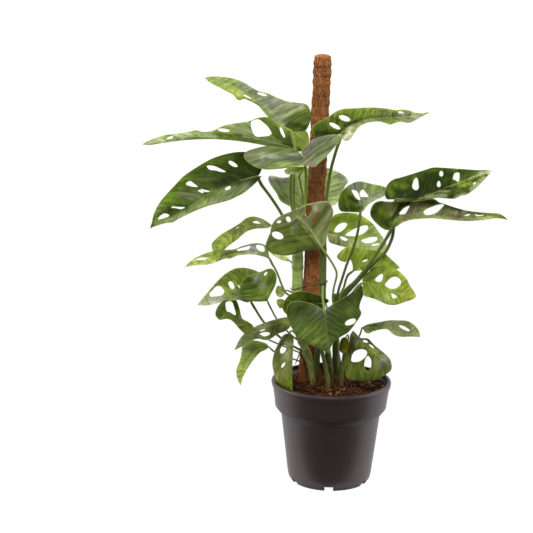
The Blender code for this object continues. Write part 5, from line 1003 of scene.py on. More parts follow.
class Blade:
    """A leaf blade as a bent sheet: p runs along the rib and w is the width off it."""

    def __init__(self, leaf):
        self.leaf = leaf
        rib = leaf["rib"]
        base, tip = rib[0], rib[-1]
        self.base = base
        self.reach = math.dist(base[:2], tip[:2])
        self.along = ((tip[0] - base[0]) / self.reach, (tip[1] - base[1]) / self.reach)
        self.rib = [(self.along_of(r), self.across_of(r), r[2]) for r in rib]
        spots = [spot(*r) for r in rib]
        self.run = sum((b - a).length for a, b in zip(spots, spots[1:])) / self.reach
        self.length = self.reach * self.run
        middle = len(rib) // 2
        across, down, depth = rib[middle]
        self.unit = (spot(across + 1, down, depth) - spots[middle]).length
        self.turn = {1: self.side_of("upper"), -1: self.side_of("lower")}
        self.fall = {1: leaf["upper_fall"], -1: leaf["lower_fall"]}
        self.width = {1: self.widest("upper", 1), -1: self.widest("lower", -1)}
        self.stretch = {h: math.hypot(self.unit, self.fall[h][0] + self.fall[h][1] * self.width[h])
                        for h in (1, -1)}

    def along_of(self, at):
        return (at[0] - self.base[0]) * self.along[0] + (at[1] - self.base[1]) * self.along[1]

    def across_of(self, at):
        return (at[1] - self.base[1]) * self.along[0] - (at[0] - self.base[0]) * self.along[1]

    def rib_at(self, p):
        """Offset and depth of the rib at p, run straight on past both ends."""
        rib = self.rib
        if p <= 0.0 or p >= self.reach:
            a, b = (rib[0], rib[1]) if p <= 0.0 else (rib[-2], rib[-1])
            end = a if p <= 0.0 else b
            t = (p - end[0]) / (b[0] - a[0])
            return end[1] + (b[1] - a[1]) * t, end[2] + (b[2] - a[2]) * t
        i = max(k for k in range(len(rib) - 1) if rib[k][0] <= p)
        gap = rib[i + 1][0] - rib[i][0]
        t = (p - rib[i][0]) / gap
        values = []
        for axis in (1, 2):
            a, b = rib[i][axis], rib[i + 1][axis]
            values.append(a * (1 + 2 * t) * (1 - t) ** 2 + gap * self.slope(i, axis) * t * (1 - t) ** 2
                          + b * t * t * (3 - 2 * t) + gap * self.slope(i + 1, axis) * t * t * (t - 1))
        return values

    def slope(self, i, axis):
        first, last = max(i - 1, 0), min(i + 1, len(self.rib) - 1)
        return ((self.rib[last][axis] - self.rib[first][axis])
                / (self.rib[last][0] - self.rib[first][0]))

    def offset(self, at):
        """How far a seen point lies off the rib."""
        return self.across_of(at) - self.rib_at(self.along_of(at))[0]

    def side_of(self, half):
        return 1 if sum(self.offset(at) for at in self.leaf[half]) > 0 else -1

    def widest(self, half, side):
        return max(self.locate(at, side)[1] for at in self.leaf[half])

    def locate(self, at, side):
        return self.along_of(at), max(0.3, self.turn[side] * self.offset(at))

    def flat(self, p, w, side):
        return p * self.run, side * w * self.stretch[side]

    def seen(self, x, y):
        """(across, down, depth) of a point of the flat outline."""
        side = 1 if y >= 0 else -1
        p, w = x / self.run, abs(y) / self.stretch[side]
        offset, depth = self.rib_at(p)
        q = offset + self.turn[side] * w
        fall, growth = self.fall[side]
        across = self.base[0] + self.along[0] * p - self.along[1] * q
        down = self.base[1] + self.along[1] * p + self.along[0] * q
        share = min(1.0, w / self.width[side])
        wave = WAVE_HEIGHT * share ** 2 * math.sin(x * math.tau / WAVE_LENGTH + side)
        return across, down, depth + w * (fall + growth * w) + wave

    def edge(self, half, side):
        ends = [self.leaf["rib"][0][:2]] + list(self.leaf[half]) + [self.leaf["rib"][-1][:2]]
        line = smooth_line(ends, EDGE_STEP, self.unit)
        return [self.flat(*self.locate(at, side), side) for at in line[1:-1]]

    def outline(self):
        upper = self.edge("upper", 1)
        lower = self.edge("lower", -1)
        return [(0.0, 0.0)] + upper + [(self.length, 0.0)] + lower[::-1]

    def holes(self):
        loops = []
        for hole in self.leaf.get("holes", []):
            loop = closed_curve(hole) if isinstance(hole, list) else oval(*hole)
            middle = tuple(sum(values) / len(loop) for values in zip(*loop))
            side = 1 if self.offset(middle) * self.turn[1] > 0 else -1
            places = [self.locate(at, side) for at in loop]
            loops.append([self.flat(p, max(w, RIB_MARGIN), side) for p, w in places])
        return loops


def grid_points(edges, outline, holes):
    """Inner points on a staggered grid, kept clear of the edges and the rib."""
    low, high = edges.min(axis=0), edges.max(axis=0)
    rows = []
    for row, y in enumerate(np.arange(low[1] + GRID_STEP * 0.5, high[1], GRID_STEP * GRID_ROW)):
        shift = GRID_STEP * (0.5 + 0.5 * (row % 2))
        xs = np.arange(low[0] + shift, high[0], GRID_STEP)
        rows.append(np.stack([xs, np.full_like(xs, y)], axis=1))
    spots = np.concatenate(rows)
    spots = spots[np.abs(spots[:, 1]) > GRID_STEP * 0.4]
    spots = spots[inside(spots, outline)]
    for hole in holes:
        spots = spots[~inside(spots, hole)]
    return spots[nearest(spots, edges) > GRID_STEP * 0.5]


def blade_sheet(blade):
    """Flat triangulated blade: points, faces and the distance of each point from an edge."""
    outline, holes = blade.outline(), blade.holes()
    points = list(outline)
    edges = [(i, (i + 1) % len(outline)) for i in range(len(outline))]
    for hole in holes:
        start = len(points)
        points += hole
        edges += [(start + i, start + (i + 1) % len(hole)) for i in range(len(hole))]
    rims = np.array(points)
    rib_count = max(2, round(blade.length / GRID_STEP))
    rib = [0] + list(range(len(points), len(points) + rib_count - 1))
    points += [(blade.length * k / rib_count, 0.0) for k in range(1, rib_count)]
    edges += list(zip(rib, rib[1:] + [outline.index((blade.length, 0.0))]))
    points += [tuple(p) for p in grid_points(np.array(points), outline, holes)]
    flat, _, faces, _, _, _ = delaunay_2d_cdt([Vector(p) for p in points], edges, [], 0, 1e-4)
    flat, faces = np.array(flat), np.array(faces)
    centres = flat[faces].mean(axis=1)
    kept = inside(centres, outline)
    for hole in holes:
        kept &= ~inside(centres, hole)
    used, places = np.unique(faces[kept], return_inverse=True)
    flat, faces = flat[used], places.reshape(-1, 3)
    return flat, faces, nearest(flat, rims)


def normals_of(points, faces):
    """Vertex normals of a sheet, weighted by the areas of its faces."""
    a, b, c = (points[faces[:, k]] for k in range(3))
    flat = np.cross(b - a, c - a)
    normals = np.zeros_like(points)
    for k in range(3):
        np.add.at(normals, faces[:, k], flat)
    return normals / np.linalg.norm(normals, axis=1)[:, None]


def smoothed(normals, faces, rounds):
    """Normals averaged with those of the neighbours."""
    for _ in range(rounds):
        total = normals.copy()
        for i, j in ((0, 1), (1, 2), (2, 0)):
            np.add.at(total, faces[:, i], normals[faces[:, j]])
            np.add.at(total, faces[:, j], normals[faces[:, i]])
        normals = total / np.linalg.norm(total, axis=1)[:, None]
    return normals


def evenness(points, flat, faces):
    """How little the sheet is folded at each point, 1 where it lies as wide as it does flat."""
    a, b, c = (points[faces[:, i]] for i in range(3))
    real = np.linalg.norm(np.cross(b - a, c - a), axis=1)
    p, q, r = (flat[faces[:, i]] for i in range(3))
    laid = np.abs((q - p)[:, 0] * (r - p)[:, 1] - (q - p)[:, 1] * (r - p)[:, 0])
    totals = np.zeros((2, len(points)))
    for i in range(3):
        np.add.at(totals[0], faces[:, i], real)
        np.add.at(totals[1], faces[:, i], laid)
    stretch = totals[0] / np.maximum(totals[1], 1e-6)
    return np.clip(stretch / np.median(stretch), 0.0, 1.0) ** 2


def closed_sheet(top, bottom, faces):
    """Closed mesh between two sheets, and how many of its faces are walls, kept last."""
    count = len(top)
    rims = {}
    for a, b, c in faces.tolist():
        for edge in ((a, b), (b, c), (c, a)):
            rims[edge] = True
    walls = []
    for a, b in rims:
        if (b, a) not in rims:
            walls += [[b, a, a + count], [b, a + count, b + count]]
    under = faces[:, ::-1] + count
    return np.concatenate([top, bottom]), faces.tolist() + under.tolist() + walls, len(walls)


def tube(points, radii, sides, closed=False):
    """Closed mesh data of a round bar along points; closed joins its two ends."""
    verts, faces = [], []
    side = Vector((1.0, 0.0, 0.3))
    count = len(points)
    for i, point in enumerate(points):
        if closed:
            tangent = (points[(i + 1) % count] - points[i - 1]).normalized()
        else:
            tangent = (points[min(i + 1, count - 1)] - points[max(i - 1, 0)]).normalized()
        last = Vector((0, 0, 1)) if closed else side
        side = (last - tangent * last.dot(tangent)).normalized()
        other = tangent.cross(side)
        for k in range(sides):
            a = math.tau * k / sides
            verts.append(point + (side * math.cos(a) + other * math.sin(a)) * radii[i])
    for i in range(count if closed else count - 1):
        for k in range(sides):
            a, b = i * sides + k, i * sides + (k + 1) % sides
            c, d = (i + 1) % count * sides + (k + 1) % sides, (i + 1) % count * sides + k
            faces += [[a, b, c], [a, c, d]]
    if not closed:
        last = (count - 1) * sides
        faces += [[0, k + 1, k] for k in range(1, sides - 1)]
        faces += [[last, last + k, last + k + 1] for k in range(1, sides - 1)]
    return verts, faces


def gather(parts):
    """One mesh of several closed ones."""
    verts, faces = [], []
    for more, some in parts:
        start = len(verts)
        verts += more
        faces += [[i + start for i in face] for face in some]
    return verts, faces


def tapered(first, last, count):
    return [first + (last - first) * k / (count - 1) for k in range(count)]


def make_piece(name, nodes, slot, verts, faces, materials, values=None, smooth=True):
    """New piece in place of CAD nodes; values are point attributes by name."""
    mesh = bpy.data.meshes.new(name)
    mesh.from_pydata([tuple(v) for v in np.array(verts, dtype=float) * MM], [], faces)
    for key, data in (values or {}).items():
        data = np.array(data, dtype=np.float32)
        kind, field = ("FLOAT", "value") if data.ndim == 1 else ("FLOAT_VECTOR", "vector")
        mesh.attributes.new(key, kind, "POINT").data.foreach_set(field, data.ravel())
    for material in materials:
        mesh.materials.append(material)
    if smooth:
        mesh.shade_smooth()
    piece = bpy.data.objects.new(name, mesh)
    bpy.context.scene.collection.objects.link(piece)
    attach(piece, "root")
    if nodes:
        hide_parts(*nodes)
    return piece


def drift(seen, closeness, seed):
    """Slow random value at each seen point."""
    return np.array([noise.noise(Vector((u * closeness, v * closeness, seed)))
                     for u, v in seen[:, :2]])


def vein_course(blade, look, flat, seed):
    """How far each flat point lies along the row of side veins, in veins."""
    x, y = flat[:, 0], np.abs(flat[:, 1])
    course = x - look.get("lean", VEIN_LEAN) * y * (1 + VEIN_CURL * y)
    course += 0.9 * np.sin(course * 0.23 + seed) + 0.5 * np.sin(y * 0.2 + seed * 2)
    return course / look["vein"] + np.where(flat[:, 1] >= 0, 0.0, 0.5)


def flow_course(flow, seen, seed):
    """Number of each point's side vein where the veins run along two seen directions."""
    (across, down), (end_across, end_down), near, far, spacing = flow
    off = seen[:, :2] - [across, down]
    beyond = off[:, 0] * (end_down - down) - off[:, 1] * (end_across - across) > 0
    course = np.where(beyond, off[:, 0] * far[1] - off[:, 1] * far[0],
                      off[:, 0] * near[1] - off[:, 1] * near[0]) / spacing
    return course + 0.25 * drift(seen, 0.05, seed)


def half_tint(shades, share):
    """Colour of a half that goes through three shades from stalk to tip."""
    first, middle, last = (np.array(linear(shade)) for shade in shades)
    early, late = np.clip(share * 2, 0.0, 1.0), np.clip(share * 2 - 1, 0.0, 1.0)
    return first * (1 - early) + middle * (early - late) + last * late


def stroke_weight(start, run, radius, strength, seen, streak, seed):
    """How much of a soft stroke's shade lies on each point."""
    off = seen[:, :2] - start
    share = np.clip(off @ run / max(run @ run, 1.0), 0.0, 1.0)[:, None]
    away = np.linalg.norm(off - share * run, axis=1) / radius
    away += 0.3 * drift(seen, 0.16, seed + radius)
    weight = strength * (STROKE_BASE + streak) * np.exp(-np.maximum(away, 0.0) ** 2 * STROKE_FALL)
    return np.clip(weight, 0.0, 1.0)[:, None]


def leaf_tint(blade, look, flat, seen, course, seed):
    """Colour of each flat point: half shades from stalk to tip, then soft strokes on them."""
    streak = [noise.noise(Vector((c * 2.6, abs(y) * 0.07, seed)))
              for c, y in zip(course, flat[:, 1])]
    streak = 0.6 + 0.9 * np.array(streak)
    share = np.clip(flat[:, 0] / blade.length, 0.0, 1.0)[:, None]
    # The half shades, gain and strokes carry painted light and shade as well as the leaf's own colour
    gain = np.array(look["gain"])
    blend = np.clip(flat[:, 1:] / 3.0 + 0.5, 0.0, 1.0)
    tint = half_tint(look["upper"], share) * blend + half_tint(look["lower"], share) * (1 - blend)
    tint = tint * gain
    for *ends, radius, shade, strength in look.get("strokes", []):
        start, end = np.array(ends[:2]), np.array(ends[-2:])
        weight = stroke_weight(start, end - start, radius, strength, seen, streak, seed)
        paint = np.array(linear(shade)) * np.maximum(gain, STROKE_GAIN)
        tint = tint * (1 - weight) + paint * weight
    return tint


def ease(value, start, end):
    t = np.clip((value - start) / (end - start), 0.0, 1.0)
    return t * t * (3 - 2 * t)


def stem_bar(name):
    """Points and radii of a stem, its start run on down below the soil's surface."""
    line = smooth_line(STEMS[name], STEM_STEP)
    points = [spot(*at[:3]) for at in line]
    radii = [at[3] for at in line]
    slope = (points[0] - points[1]).normalized()
    slope.z = min(slope.z, STEM_DIVE)
    return [points[0] + slope.normalized() * STEM_SUNK] + points, radii[:1] + radii


def stem_seat(name, down, toward):
    """Start of a stalk just under a stem's skin, on the side of toward."""
    line = smooth_line(STEMS[name], STALK_STEP)
    at = min(range(1, len(line) - 1), key=lambda i: abs(line[i][1] - down))
    centre = spot(*line[at][:3])
    grain = (spot(*line[at + 1][:3]) - spot(*line[at - 1][:3])).normalized()
    heading = (toward - centre).normalized()
    away = (heading - grain * heading.dot(grain)).normalized()
    return centre + away * line[at][3] * STALK_SEAT


def swelling(size, away):
    """Share that a swelling adds at a distance from its middle."""
    share, length = size
    return share * math.exp(-(away / length) ** 2)


def stalk_shape(leaf, blade):
    """Points and radii of a stalk, with a knee at the blade and a clasp at the stem."""
    seen = [spot(*at) for at in leaf["stalk"]][::-1]
    radius = leaf.get("stalk_radius", STALK_RADIUS)
    root = stem_seat(*leaf["root"], seen[0])
    inner = [spot(*blade.seen(blade.length * share, 0.0)) for share in STALK_INTO_BLADE]
    path = fine_line([root] + seen + [spot(*leaf["rib"][0])], STALK_STEP)
    count = len(path)
    radii = []
    for k in range(count):
        clasp = swelling(STALK_CLASP, k * STALK_STEP)
        knee = swelling(STALK_KNEE, (count - 4 - k) * STALK_STEP)
        narrow = STALK_END if k == count - 1 else 1.0
        radii.append(radius * (STALK_BODY + clasp + knee) * narrow)
    return path + inner, radii + [radius * STALK_TIP[0], STALK_TIP[1]]


def blade_skins(blade, look, flat, edge, normals, points, course, even, up):
    """Upper and lower skin of a blade: fields between side veins, a groove and a ridge at the rib."""
    width, left = np.abs(flat[:, 1]), blade.length - flat[:, 0]
    calm = ease(edge, 0.0, CALM_EDGE) * ease(width, *CALM_RIB) * ease(left, *CALM_TIP)
    puff = PUFF_HEIGHT * look.get("puff", 1.0) * even * calm
    relief = puff * np.abs(np.sin(math.pi * course)) ** PUFF_ROUND
    slim = ease(left, 0.0, blade.length * RIB_TAPER)
    inner = ease(edge, 0.0, MARGIN_WIDTH)
    rib = np.exp(-(width / RIB_WIDTH) ** 2) * inner * (RIB_LEAST + (1 - RIB_LEAST) * slim)
    rib *= even
    middle = points + normals * (up * (relief - GROOVE_DEPTH * rib))[:, None]
    half = (MARGIN_THICKNESS + (BLADE_THICKNESS - MARGIN_THICKNESS) * inner) / 2
    over, under = half, half + RIB_RIDGE * rib
    if up < 0:
        over, under = under, over
    return middle + normals * over[:, None], middle - normals * under[:, None]


def blade_grain(look, flat, edge, course):
    """Course, width off the rib and distance from the edge, for the material."""
    width = np.abs(flat[:, 1])
    if "flow" in look:
        width = np.minimum(width, FLOW_START) + FLOW_RUN * np.maximum(width - FLOW_START, 0.0)
    return np.stack([course, width, edge], axis=1)


def dress_leaf(name, leaf, seed, materials):
    look = LOOKS[name]
    blade = Blade(leaf)
    flat, faces, edge = blade_sheet(blade)
    seen = np.array([blade.seen(x, y) for x, y in flat])
    points = np.array([spot(*at) for at in seen])
    points[:, 1] += np.maximum(FRONT_LIMIT - points[:, 1], 0.0) * FRONT_SQUEEZE
    normals = smoothed(normals_of(points, faces), faces, NORMAL_ROUNDS)
    even = evenness(points, flat, faces)
    up = 1 if (blade.turn[1] == -1) != (look.get("shows") == "under") else -1
    if "flow" in look:
        course = flow_course(look["flow"], seen, seed)
    else:
        course = vein_course(blade, look, flat, seed)
    skins = blade_skins(blade, look, flat, edge, normals, points, course, even, up)
    verts, solid, walls = closed_sheet(*skins, faces)
    bar, bar_faces = tube(*stalk_shape(leaf, blade), STALK_SIDES)
    tint = leaf_tint(blade, look, flat, seen, course, seed)
    grain = blade_grain(look, flat, edge, course)
    stalk_tint = np.tile(linear(look.get("stalk", "fresh")), (len(bar), 1))
    below = [np.full(len(flat), float(up < 0)), np.full(len(flat), float(up > 0))]
    values = {"tint": np.concatenate([tint, tint, stalk_tint]),
              "grain": np.concatenate([grain, grain, np.array(bar) * 0.1]),
              "below": np.concatenate(below + [np.zeros(len(bar))]),
              "even": np.concatenate([even, even, np.ones(len(bar))]),
              "seed": np.full(len(verts) + len(bar), seed)}
    both = solid + [[i + len(verts) for i in face] for face in bar_faces]
    piece = make_piece("dressed_" + name, [name], SLOTS.get(name, "leaf"),
                       np.concatenate([verts, np.array(bar)]), both, materials, values)
    kinds = np.zeros(len(both), dtype=np.int32)
    kinds[len(solid):] = 1
    piece.data.polygons.foreach_set("material_index", kinds)
    sharp = np.zeros(len(both), dtype=bool)
    sharp[len(solid) - walls:len(solid)] = True
    piece.data.polygons.foreach_set("use_smooth", ~sharp)


def lathe(profile, sides):
    """Closed mesh data of a profile of (radius, height) turned about the Z axis."""
    verts, faces, rings = [], [], []
    for radius, height in profile:
        if radius == 0:
            rings.append([len(verts)] * sides)
            verts.append(Vector((0, 0, height)))
            continue
        rings.append(list(range(len(verts), len(verts) + sides)))
        for k in range(sides):
            a = math.tau * k / sides
            verts.append(Vector((radius * math.cos(a), radius * math.sin(a), height)))
    for lower, upper in zip(rings, rings[1:]):
        for k in range(sides):
            a, b = lower[k], lower[(k + 1) % sides]
            c, d = upper[(k + 1) % sides], upper[k]
            if a == b:
                faces.append([a, c, d])
            elif c == d:
                faces.append([a, b, c])
            else:
                faces.append([a, b, c, d])
    return verts, faces


def wall_radius(height):
    for (r1, z1), (r2, z2) in zip(POT_WALL, POT_WALL[1:]):
        if z1 <= height <= z2:
            return r1 + (r2 - r1) * (height - z1) / (z2 - z1)
    return POT_WALL[-1][0]


def box(centre, size, turn):
    verts = []
    for x, y, z in ((i, j, k) for i in (-1, 1) for j in (-1, 1) for k in (-1, 1)):
        corner = Vector((centre[0] + x * size[0] / 2, y * size[1] / 2, z * size[2] / 2))
        across = corner.x * math.cos(turn) - corner.y * math.sin(turn)
        along = corner.x * math.sin(turn) + corner.y * math.cos(turn)
        verts.append(Vector((across, along, corner.z + centre[2])))
    faces = [[0, 1, 3, 2], [4, 6, 7, 5], [0, 4, 5, 1], [2, 3, 7, 6], [0, 2, 6, 4], [1, 5, 7, 3]]
    return verts, faces


def cut(piece, cutters):
    """Cut closed meshes out of a piece."""
    group = bpy.data.collections.new("cutters")
    things = []
    for k, (verts, faces) in enumerate(cutters):
        mesh = bpy.data.meshes.new(f"cutter_{k}")
        mesh.from_pydata([tuple(v * MM) for v in verts], [], faces)
        thing = bpy.data.objects.new(f"cutter_{k}", mesh)
        group.objects.link(thing)
        things.append(thing)
    joint = piece.modifiers.new("cut", "BOOLEAN")
    joint.operation = "DIFFERENCE"
    joint.operand_type = "COLLECTION"
    joint.collection = group
    joint.solver = "MANIFOLD"
    depsgraph = bpy.context.evaluated_depsgraph_get()
    result = bpy.data.meshes.new_from_object(piece.evaluated_get(depsgraph))
    piece.modifiers.clear()
    piece.data = result
    for thing in things:
        bpy.data.objects.remove(thing, do_unlink=True)
    bpy.data.collections.remove(group)


def rounded(profile, step):
    """The profile with its corners softened: each corner becomes two points."""
    soft = [profile[0]]
    for before, at, after in zip(profile, profile[1:], profile[2:]):
        for other in (before, after):
            length = math.dist(at, other)
            share = min(step / length, POT_CORNER_SHARE) if length else 0.0
            soft.append((at[0] + (other[0] - at[0]) * share, at[1] + (other[1] - at[1]) * share))
    return soft + [profile[-1]]


def pot_profile():
    """Closed profile of the shell: outside, lip, inside and floor."""
    inner = [(radius - POT_THICKNESS, height) for radius, height in POT_WALL[2:-2]][::-1]
    floor = (POT_WALL[1][0] - POT_THICKNESS - POT_FLOOR_INSET, POT_FLOOR)
    return [(0, 0)] + POT_WALL + [POT_LIP_INNER] + inner + [floor, (0, POT_FLOOR)]


def pot_cutters():
    """Notches in the pot's foot, and drain holes in its floor between them."""
    cutters = []
    for k in range(DRAIN_COUNT):
        turn = math.tau * k / DRAIN_COUNT - math.pi / 2
        cutters.append(box((DRAIN_MIDDLE, 0, 0), (DRAIN_DEPTH, DRAIN_WIDTH, DRAIN_HEIGHT * 2), turn))
        at = outward(turn + math.pi / DRAIN_COUNT) * FLOOR_HOLE_CIRCLE
        ends = [at + Vector((0, 0, height)) for height in FLOOR_HOLE_SPAN]
        cutters.append(tube(ends, [FLOOR_HOLE_RADIUS] * 2, FLOOR_HOLE_SIDES))
    return cutters


def dress_pot(material):
    shell = lathe(rounded(pot_profile(), POT_CORNER), POT_SIDES)
    pot = make_piece("dressed_pot", ["pot"], "pot", *shell, [material], smooth=False)
    cut(pot, pot_cutters())
    pot.data.shade_smooth()
    pot.data.set_sharp_from_angle(angle=POT_SHARP)


def soil_height(x, y):
    """Height of the soil's top, lumpy and a little higher in the middle."""
    radius = math.hypot(x, y) / (wall_radius(SOIL_TOP) - POT_THICKNESS)
    base = SOIL_TOP - SOIL_SUNK + SOIL_MOUND * (1 - radius ** 2)
    lumps = sum(height * noise.noise(Vector((x * closeness, y * closeness, layer)))
                for height, closeness, layer in SOIL_LUMPS)
    return base + lumps * (1.0 - SOIL_CALM * radius)


def scattered(rng, reach):
    """Random place in a circle."""
    radius, a = reach * math.sqrt(rng.random()), rng.uniform(0, math.tau)
    return radius * math.cos(a), radius * math.sin(a)


def chip(rng, x, y, size):
    """A flat crumb of bark as a skewed box."""
    verts, faces = box((0, 0, 0), (size, size * rng.uniform(*CHIP_WIDTH),
                                   size * rng.uniform(*CHIP_HEIGHT)), 0.0)
    turn = Matrix.Rotation(rng.uniform(0, math.tau), 3, "Z")
    tilt = Matrix.Rotation(rng.uniform(-CHIP_TILT, CHIP_TILT), 3, "X")
    at = Vector((x, y, soil_height(x, y) + size * CHIP_LIFT))
    verts = [turn @ (tilt @ (v * rng.uniform(*CHIP_SKEW))) + at for v in verts]
    return verts, faces


def soil_fibre(rng, top):
    """Points of a thin fibre that wanders over the soil and ends before the wall."""
    x, y = scattered(rng, top * FIBRE_START)
    course = rng.uniform(0, math.tau)
    line = []
    for _ in range(FIBRE_POINTS):
        if math.hypot(x, y) > top * FIBRE_LIMIT:
            break
        line.append(Vector((x, y, soil_height(x, y) + rng.uniform(*FIBRE_LIFT))))
        x, y = x + FIBRE_STEP * math.cos(course), y + FIBRE_STEP * math.sin(course)
        course += rng.uniform(-FIBRE_BEND, FIBRE_BEND)
    return line


def soil_body(top):
    """The block of soil, with its bumps."""
    foot = wall_radius(SOIL_FLOOR) - POT_THICKNESS - 2 * SOIL_GAP
    profile = [(0, SOIL_FLOOR), (foot, SOIL_FLOOR)]
    profile += [(r - POT_THICKNESS - SOIL_GAP, z) for r, z in POT_WALL[2:7]]
    profile += [(top * (1 - k / SOIL_RINGS), SOIL_TOP) for k in range(SOIL_RINGS)] + [(0, SOIL_TOP)]
    verts, faces = lathe(profile, SOIL_SIDES)
    for v in verts:
        if v.z >= SOIL_TOP - 0.01:
            v.z = soil_height(v.x, v.y)
    return verts, faces


def dress_soil(material):
    rng = random.Random(SOIL_SEED)
    top = wall_radius(SOIL_TOP) - POT_THICKNESS - SOIL_GAP
    parts = [soil_body(top)]
    for _ in range(CHIP_COUNT):
        place = scattered(rng, top * CHIP_REACH)
        parts.append(chip(rng, *place, rng.choice(CHIP_SIZES)))
    for _ in range(FIBRE_COUNT):
        line = soil_fibre(rng, top)
        if len(line) > 2:
            parts.append(tube(line, [rng.uniform(*FIBRE_RADIUS)] * len(line), 4))
    seeds = []
    for k, (some, _) in enumerate(parts):
        seeds += [0.0 if k == 0 else rng.uniform(0.1, 1.0)] * len(some)
    make_piece("dressed_soil", ["soil"], "soil", *gather(parts), [material],
               {"seed": seeds}, smooth=False)


def pole_point(height):
    """Point of the pole's axis at a height above the ground."""
    head = spot(*POLE_HIGH)
    foot = spot(*POLE_LOW)
    return foot + (head - foot) * ((height - foot.z) / (head.z - foot.z))


class Pole:
    """Axis of the coir from its foot up, and two directions across it."""

    def __init__(self):
        self.foot = pole_point(COIR_START)
        self.length = (pole_point(COIR_TOP) - self.foot).length
        self.axis = (pole_point(1.0) - pole_point(0.0)).normalized()
        self.side = (Vector((1, 0, 0)) - self.axis * self.axis.x).normalized()
        self.other = self.axis.cross(self.side)

    def away(self, a):
        return self.side * math.cos(a) + self.other * math.sin(a)

    def at(self, height, a, radius):
        return self.foot + self.axis * height + self.away(a) * radius


def coir_radius(height, a):
    """Radius of the fibre at a height above its foot and an angle."""
    depth = COIR_WAIST * min(max((height - WAIST_FROM) / WAIST_FADE, WAIST_LEAST), 1.0)
    waist = depth * (0.5 - 0.5 * math.cos(math.tau * height / COIR_PITCH))
    radius = COIR_RADIUS - COIR_INSET - waist
    for size, round_it, along in COIR_ROUGH:
        place = Vector((math.cos(a) * round_it, math.sin(a) * round_it, height * along))
        radius += size * noise.noise(place)
    return radius


def seeds_of(parts, rng):
    """One random number for each part, laid on all its points."""
    return np.concatenate([np.full(len(some), rng.random()) for some, _ in parts])


def coir_body(pole):
    rings = round(pole.length / COIR_RING)
    profile = [(0.0, 0.0)] + [(1.0, pole.length * k / rings) for k in range(rings + 1)]
    profile += [(share, pole.length + COIR_CROWN * rise) for share, rise in CROWN_SHAPE]
    verts, faces = lathe(profile, COIR_SIDES)
    for v in verts:
        share, a, height = math.hypot(v.x, v.y), math.atan2(v.y, v.x), v.z
        v[:] = pole.at(height, a, share * coir_radius(height, a))
    return verts, faces


def coir_strand(rng, pole):
    """A fibre that climbs along the coir's surface."""
    a, height = rng.uniform(0, math.tau), rng.uniform(FUZZ_FROM, pole.length - STRAND_END)
    lean, count = rng.choice(STRAND_LEANS) * rng.gauss(0.0, 1.0), rng.randint(*STRAND_POINTS)
    line = []
    for _ in range(count):
        line.append(pole.at(height, a, coir_radius(height, a) + rng.uniform(*STRAND_LIFT)))
        height = min(height + STRAND_STEP, pole.length + COIR_CROWN * 0.6)
        a += lean + rng.gauss(0.0, STRAND_WANDER)
    return tube(line, [rng.uniform(*STRAND_RADIUS)] * count, 3)


def coir_hair(rng, pole):
    """A short fibre that stands off the coir."""
    a, height = rng.uniform(0, math.tau), rng.uniform(FUZZ_FROM, pole.length - HAIR_END)
    out = coir_radius(height, a) - HAIR_ROOT
    rise, lean, reach = rng.uniform(*HAIR_RISE), rng.gauss(0.0, HAIR_LEAN), rng.uniform(*HAIR_REACH)
    line = [pole.at(height + rise * share ** 1.4, a + lean * share,
                    out + reach * (share - HAIR_SAG * share * share))
            for share in (0.0, 0.4, 0.75, 1.0)]
    return tube(line, HAIR_RADII, 3)


def thread_loop(rng, pole, level):
    """One turn of the thread that the coir is wound with."""
    tilt, turn = rng.uniform(-THREAD_TILT, THREAD_TILT), rng.uniform(0, 6)
    line = []
    for i in range(THREAD_POINTS):
        a = math.tau * i / THREAD_POINTS
        height = level + tilt * COIR_RADIUS * math.cos(a + turn)
        line.append(pole.at(height, a, coir_radius(height, a) + THREAD_LIFT))
    return tube(line, [THREAD_RADIUS] * THREAD_POINTS, 5, True)


def dress_pole(coir, thread):
    rng = random.Random(POLE_SEED)
    pole = Pole()
    verts, faces = coir_body(pole)
    # The body's fixed brightness is painted shade in the crevices under the strands
    make_piece("dressed_pole_coir", ["pole_coir"], "coir", verts, faces, [coir],
               {"seed": np.full(len(verts), COIR_BODY_PAINTED_SHADE)})
    strands = [coir_strand(rng, pole) for _ in range(STRAND_COUNT)]
    strands += [coir_hair(rng, pole) for _ in range(HAIR_COUNT)]
    make_piece("coir_strands", [], "coir", *gather(strands), [coir],
               {"seed": seeds_of(strands, rng)})
    loops = [thread_loop(rng, pole, COIR_PITCH * (k + 0.5))
             for k in range(round(pole.length / COIR_PITCH))]
    make_piece("coir_threads", [], "coir", *gather(loops), [thread])


def dress_stems(material):
    for name, path in STEMS.items():
        line, radii = stem_bar(name)
        nodes = [spot(*min(smooth_line(path, 2.0), key=lambda at: abs(at[1] - down))[:3])
                 for root, down in (leaf["root"] for leaf in LEAVES.values()) if root == name]
        marks = []
        for i, point in enumerate(line):
            swell = swelling(STEM_NODE, min(((point - node).length for node in nodes), default=99.0))
            ring = STEM_RING * math.cos(math.tau * point.z / NODE_SPACING) ** 8
            uneven = STEM_UNEVEN * noise.noise(Vector((i * 0.16, len(path) * 3.1, 2.0)))
            radii[i] *= STEM_BODY + swell + ring + uneven
            marks.append(min(1.0, swell * 5 + ring * 9))
        verts, faces = tube(line, radii, STEM_SIDES)
        values = {"mark": np.repeat(marks, STEM_SIDES),
                  "tint": np.tile(linear(STEM_SHADES[name]), (len(verts), 1))}
        make_piece("dressed_" + name, [name], "stem", verts, faces, [material], values)


